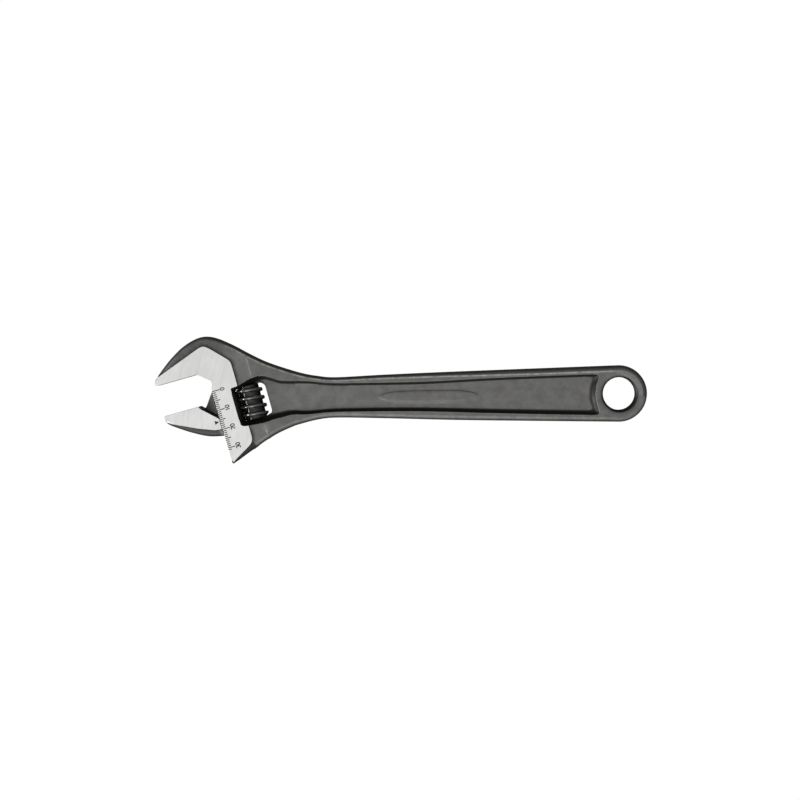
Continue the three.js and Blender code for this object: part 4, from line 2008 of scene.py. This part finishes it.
    def shank(self) -> bpy.types.Object:
        """Makes the shank: at height y and angle a its radius is the round bar's, or where less
        the distance to the toothed plane over cos a. That plane lies at the rack's root inside
        a groove, at the bar's radius on a tooth, and between them on the flanks. Grooves are
        tilted by the thread's lead.

        Returns:
            The closed solid.
        """
        s = self.sizes
        y = np.linspace(-s.shank_drop, s.shank_rise, self.shank_rows)
        y, a = np.meshgrid(y, whole_turn(self.shank_columns), indexing="ij")
        lead = s.pitch / (2 * np.pi * s.mesh_radius)
        crest = s.knurl_middle + s.phase + s.pitch / 2 + s.opening
        root = s.rack_root
        radius = np.full_like(y, s.shank_radius)
        for _ in range(2):
            along = y + lead * radius * np.sin(a) - crest
            off = np.abs((along / s.pitch + 0.5) % 1 - 0.5) * s.pitch
            share = np.clip((off - self.groove_half) / self.groove_flank, 0, 1)
            plane = root + (s.shank_radius - root) * share
            reach = plane / np.maximum(np.cos(a), 1e-3)
            radius = np.where(np.cos(a) > 0, np.minimum(s.shank_radius, reach), s.shank_radius)
        end = np.minimum(y + s.shank_drop, s.shank_rise - y)
        radius = radius - np.maximum(self.shank_chamfer - end, 0)
        shape = about_axis(s.shank_setback, radius, y - s.opening, a)
        return tube("shank", self.head.place_solid(shape))

    def build(self, palette: Palette) -> bpy.types.Object:
        """Joins the thick part, the web and the shank, engraves the arrow and dresses them.

        Args:
            palette: the shared finishes.

        Returns:
            The finished jaw.
        """
        s = self.sizes
        jaw = self.thick_part()
        combine(jaw, self.web(), "UNION")
        combine(jaw, self.shank(), "UNION")
        pointer = self.at_rest([(-2.9, -9.35), (-0.7, -10.4), (-2.9, -11.45)])
        for side in (1, -1):
            floor, above = s.half_ground - self.arrow_depth, s.half_ground + 0.2
            low, high = sorted((side * floor, side * above))
            arrow = prism("arrow", pointer, self.head.middle + low, self.head.middle + high)
            combine(jaw, arrow, "DIFFERENCE")
        finish_faces(jaw)
        self._dress(jaw, palette)
        return jaw

    def _dress(self, jaw: bpy.types.Object, palette: Palette) -> None:
        """Gives the ground faces bright steel and the rest the forging's black, with a painted
        highlight on the heel and painted shade stored over it.

        Args:
            jaw: the finished solid.
            palette: the shared finishes.
        """
        s = self.sizes
        give_finishes(jaw, palette.forging, palette.ground)
        middle, normal = face_frames(jaw.data)
        rise = np.abs(middle[:, 2] - self.head.middle)
        upright = np.abs(normal[:, 2])
        back, up = (self.head.local(middle[:, :2]) + [0, s.opening]).T
        on_face = (up > -0.3) & (back < -7.9) & (upright < 0.5)
        bright = ground_faces(rise, upright, s.half_ground) | on_face
        jaw.data.polygons.foreach_set("material_index", bright.astype(np.int32))
        points = read_points(jaw.data)
        plan = points[:, :2]
        high = np.abs(points[:, 2] - self.head.middle)
        edge, index = nearest(plan, self.outline, closed=True)
        forged = self.role[index] == Edge.FORGED
        # Painted highlight, partly rubbed wear, in a line inside the heel's rounding.
        rubbed_and_highlit = bell(edge - self.heel_wear_and_highlight_depth, self.foot_width) * self.heel_wear_and_highlight
        store(jaw, "wear_and_highlight", rubbed_and_highlit * (forged & (high > 4.5)))
        # Painted shade by the ground step, on the slope to the web, inside the head and on the
        # flank; the engraved arrow holds a real dark fill.
        out = -depth_in(plan, self.ground)
        step_foot = bell(out, self.foot_width) * (out > 0) * (high > 4)
        slope = (self.role[index] == Edge.SLOPED) & (edge < self.back_slope + 0.1)
        in_head = smooth_step(self.head.local(plan)[:, 0], 3, 8)
        flank = (out > 0.1) * forged * self.flank_shade
        engraved = (out < -0.3) & (high < s.half_ground - 0.05) & (high > 7) & (edge > 0.4)
        painted_shade_and_grime = [step_foot, slope * 1.0, in_head, flank, engraved * 1.0]
        store(jaw, "painted_shade_and_grime", np.maximum.reduce(painted_shade_and_grime))


# ------------------------------------------------------------------ knurl, pin and spring


@dataclass
class Knurl:
    """The adjusting worm: one left-hand ridge with a rounded crest on a round core."""

    head: HeadFrame
    sizes: HeadSizes
    crest_half: float = 0.6
    tip_ellipse: float = 0.69
    base_half: float = 1.1
    end_chamfer: float = 1.5
    seat_radius: float = 3.75
    seat_depth: float = 6.0
    highlight_and_wear_depth: float = 0.5
    highlight_and_wear_full: float = 0.1
    rows: int = 230
    columns: int = 180

    def surface(self) -> np.ndarray:
        """Gives the worm's surface on a grid of angle a and height y.

        The distance from the ridge's middle is s = y - phase - pitch a / 2π, taken to the
        nearest turn. The radius goes from the root to the tip along an eased flank, the tip
        is rounded by an ellipse a little wider than it, and both ends are chamfered.

        Returns:
            (rows, columns, 3) points in the head frame.
        """
        s = self.sizes
        half = s.knurl_length / 2
        y = np.linspace(-half, half, self.rows)
        y, a = np.meshgrid(y, whole_turn(self.columns), indexing="ij")
        off = np.abs(((y - s.phase) / s.pitch - a / (2 * np.pi) + 0.5) % 1 - 0.5) * s.pitch
        rise = 1 - np.clip((off - self.crest_half) / (self.base_half - self.crest_half), 0, 1)
        rise = rise * rise * (3 - 2 * rise)
        ellipse_share = np.maximum(1 - (off / self.tip_ellipse) ** 2, 0)
        round_tip = self.crest_half * (1 - np.sqrt(ellipse_share))
        radius = s.root_radius + (s.tip_radius - s.root_radius) * rise
        radius = radius - np.where(off < self.crest_half, round_tip, 0) * rise
        end = half - np.abs(y)
        limit = s.tip_radius - np.maximum(self.end_chamfer - end, 0)
        radius = np.minimum(radius, limit)
        return about_axis(s.knurl_setback, radius, y + s.knurl_middle, a)

    def build(self, palette: Palette) -> bpy.types.Object:
        """Makes the worm, bores it for the pin and the spring, and dresses it.

        Args:
            palette: the shared finishes.

        Returns:
            The finished knurl.
        """
        s = self.sizes
        worm = tube("knurl_finished", self.head.place_solid(self.surface()))
        low = s.knurl_middle - s.knurl_length / 2
        bores = [
            ("knurl_bore", s.pin_radius + s.pin_gap, s.knurl_length + 4.8),
            ("spring_seat", self.seat_radius, self.seat_depth),
        ]
        for name, radius, depth in bores:
            bar = s.head_bar(self.head, name, radius, s.knurl_setback, low - 2, low + depth)
            combine(worm, bar, "DIFFERENCE")
        finish_faces(worm, crease=50)
        give_finishes(worm, palette.oxide)
        # Painted highlight along the ridge's crests, partly rubbed wear, greyer towards the tip.
        spot = read_points(worm.data)
        across = self.head.local(spot[:, :2])[:, 0] - s.knurl_setback
        out = np.hypot(across, spot[:, 2] - self.head.middle)
        wear_and_highlight = smooth_step(out, s.tip_radius - self.highlight_and_wear_depth, s.tip_radius - self.highlight_and_wear_full)
        store(worm, "wear_and_highlight", wear_and_highlight)
        return worm


@dataclass
class KnurlPin:
    """The pin that the knurl turns on, with a slotted head in the head's lower edge."""

    head: HeadFrame
    sizes: HeadSizes
    slot_width: float = 1.0
    slot_depth: float = 1.4
    end_radius: float = 1e-4

    def build(self, palette: Palette) -> bpy.types.Object:
        """Turns the pin's profile about its axis and cuts the slot.

        Args:
            palette: the shared finishes.

        Returns:
            The finished pin.
        """
        s = self.sizes
        head, stem = s.pin_head_radius, s.pin_radius
        profile = np.array([
            (0.0, s.pin_bottom), (head - 0.35, s.pin_bottom), (head, s.pin_bottom + 0.35),
            (head, s.pin_step - 0.3), (head - 0.3, s.pin_step), (stem + 0.05, s.pin_step),
            (stem, s.pin_step + 0.1), (stem, s.pin_top - 0.5), (stem - 0.5, s.pin_top),
            (0.0, s.pin_top),
        ])
        radius = np.maximum(profile[:, :1], self.end_radius)
        rings = about_axis(s.knurl_setback, radius, profile[:, 1:], whole_turn(72))
        pin = tube("knurl_pin_finished", self.head.place_solid(rings))
        left = s.knurl_setback - self.slot_width / 2
        right = s.knurl_setback + self.slot_width / 2
        below, floor = s.pin_bottom - 2, s.pin_bottom + self.slot_depth
        box = self.head.place([(left, below), (right, below), (right, floor), (left, floor)])
        middle = self.head.middle
        combine(pin, prism("pin_slot", box, middle - 5, middle + 5), "DIFFERENCE")
        finish_faces(pin)
        give_finishes(pin, palette.pin)
        return pin


@dataclass
class KnurlSpring:
    """The compression spring in the knurl's lower end: a round wire on a helix."""

    head: HeadFrame
    sizes: HeadSizes
    wire: float = 0.4
    radius: float = 2.85
    turns: float = 5.0
    low: float = -29.85
    high: float = -24.1
    steps: int = 320
    round_steps: int = 14

    def build(self, palette: Palette) -> bpy.types.Object:
        """Carries the wire's circle along a helix whose ends are closed up to a flat turn.

        Args:
            palette: the shared finishes.

        Returns:
            The finished spring.
        """
        t = np.linspace(0, 1, self.steps + 1)[:, None]
        angle = 2 * np.pi * self.turns * t
        climb = smooth_step(t, -0.04, 1.04)
        climb = 0.5 * t + 0.5 * (climb - climb[0]) / (climb[-1] - climb[0])
        y = self.low + self.wire + (self.high - self.low - 2 * self.wire) * climb
        b = whole_turn(self.round_steps)
        radius = self.radius + self.wire * np.cos(b)
        rings = about_axis(self.sizes.knurl_setback, radius, y + self.wire * np.sin(b), angle)
        spring = tube("knurl_spring_finished", self.head.place_solid(rings))
        finish_faces(spring, crease=60)
        give_finishes(spring, palette.wire)
        return spring


# ------------------------------------------------------------------ stage


@dataclass
class Stage:
    """The pale floor, soft light from above and the camera nearly straight over the wrench."""

    centre: tuple = (-0.41, -1.14)
    distance: float = 1200.0
    field_width: float = 412.6
    roll: float = -0.8
    tilt: float = 1.0
    head_height: float = 7.75
    clip: tuple = (0.01, 20)
    half_floor: float = 4000.0
    floor_drop: float = 0.02
    floor_glow: float = 1.02
    floor_colour: tuple = (0.2, 0.2, 0.2)
    backdrop: tuple = (0.93, 0.93, 0.93)
    brightest: tuple = (0.05, -0.28, 1.0)
    dome: tuple = ((0.0, 0.14), (0.4, 0.24), (0.78, 0.6), (1.0, 1.15))
    lamps: tuple = (
        ("key", (-0.25, -0.75, 0.9), 0.6, 5.0),
        ("side", (-1.1, -0.3, 0.42), 0.3, 15.0),
    )

    def camera(self) -> None:
        """Makes the camera, looking down and leaning by the tilt, its lens set by the field."""
        data = bpy.data.cameras.new("camera")
        data.lens = data.sensor_width * self.distance / self.field_width
        data.clip_start, data.clip_end = self.clip
        camera = bpy.data.objects.new("camera", data)
        x, y = self.centre
        lean = math.radians(self.tilt)
        aside, above = self.distance * math.sin(lean), self.distance * math.cos(lean)
        camera.location = (x * MM, (y + aside) * MM, (above + self.head_height) * MM)
        camera.rotation_euler = (-lean, 0, math.radians(self.roll))
        bpy.context.scene.collection.objects.link(camera)
        bpy.context.scene.camera = camera

    def floor(self) -> None:
        """Makes the plain floor that the wrench lies on: an even pale glow where it is seen,
        and a dim matt face to everything else."""
        corners = np.array([(-1, -1), (1, -1), (1, 1), (-1, 1)]) * self.half_floor
        level = np.full((4, 1), -self.floor_drop)
        floor = make_mesh("floor", np.hstack([corners, level]), [[0, 1, 2, 3]])
        material, tree, shader = blank_material("pale_floor")
        tree.nodes.remove(shader)
        glow = tree.nodes.new("ShaderNodeEmission")
        glow.inputs["Strength"].default_value = self.floor_glow
        path = tree.nodes.new("ShaderNodeLightPath")
        dim = tree.nodes.new("ShaderNodeBsdfDiffuse")
        dim.inputs["Color"].default_value = (*self.floor_colour, 1)
        mix = tree.nodes.new("ShaderNodeMixShader")
        tree.links.new(path.outputs["Is Camera Ray"], mix.inputs["Fac"])
        tree.links.new(dim.outputs[0], mix.inputs[1])
        tree.links.new(glow.outputs[0], mix.inputs[2])
        tree.links.new(mix.outputs[0], tree.nodes["Material Output"].inputs["Surface"])
        floor.data.materials.append(material)

    def light(self) -> None:
        """Sets a dome that is bright overhead and dark at the horizon, and soft lamps."""
        world = bpy.data.worlds.new("studio")
        bpy.context.scene.world = world
        world.use_nodes = True
        tree = world.node_tree
        direction = tree.nodes.new("ShaderNodeTexCoord").outputs["Generated"]
        toward = tree.nodes.new("ShaderNodeVectorMath")
        toward.operation = "DOT_PRODUCT"
        toward.inputs[1].default_value = Vector(self.brightest).normalized()
        tree.links.new(direction, toward.inputs[0])
        stops = [(position, (level,) * 3) for position, level in self.dome]
        ramp = colour_ramp(tree, toward.outputs["Value"], stops)
        path = tree.nodes.new("ShaderNodeLightPath")
        shown = cover(tree, path.outputs["Is Camera Ray"], ramp, self.backdrop)
        tree.links.new(shown, tree.nodes["Background"].inputs["Color"])
        tree.nodes["Background"].inputs["Strength"].default_value = 1.0
        for name, place, size, power in self.lamps:
            self._lamp(name, place, size, power)

    def _lamp(self, name: str, place: tuple, size: float, power: float) -> None:
        """Makes a square soft lamp aimed at the wrench's middle.

        Args:
            name: the lamp's name.
            place: where it hangs, in metres.
            size: its side in metres.
            power: in watts.
        """
        data = bpy.data.lights.new(name, "AREA")
        data.size = size
        data.energy = power
        lamp = bpy.data.objects.new(name, data)
        lamp.location = place
        lamp.rotation_euler = (-Vector(place)).to_track_quat("-Z", "Y").to_euler()
        bpy.context.scene.collection.objects.link(lamp)

    def build(self) -> None:
        """Makes the camera, the floor and the light."""
        self.camera()
        self.floor()
        self.light()
        bpy.context.scene.view_settings.view_transform = "Standard"


def main() -> None:
    """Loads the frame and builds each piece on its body."""
    logging.basicConfig(level=logging.INFO, format="%(message)s")
    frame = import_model()
    record = frame["record"]
    head = HeadFrame.read(record)
    sizes = HeadSizes()
    hang = opening_centre(record, "hang_hole")
    palette = Palette.make()
    Stage().build()
    makers = [
        (WrenchBody(head, sizes, hang), "body", "wrench_body", "forged_black"),
        (MovableJaw(head, sizes), "jaw", "movable_jaw", "jaw_steel"),
        (Knurl(head, sizes), "knurl", "knurl", "knurl_black"),
        (KnurlPin(head, sizes), "body", "knurl_pin", "pin_steel"),
        (KnurlSpring(head, sizes), "knurl", "knurl_spring", "spring_steel"),
    ]
    for maker, body, node, slot in makers:
        piece = maker.build(palette)
        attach(piece, body)
        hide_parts(node)
        log.info("%s: %d faces, rides on %s", piece.name, len(piece.data.polygons), body)


if __name__ == "__main__":
    main()
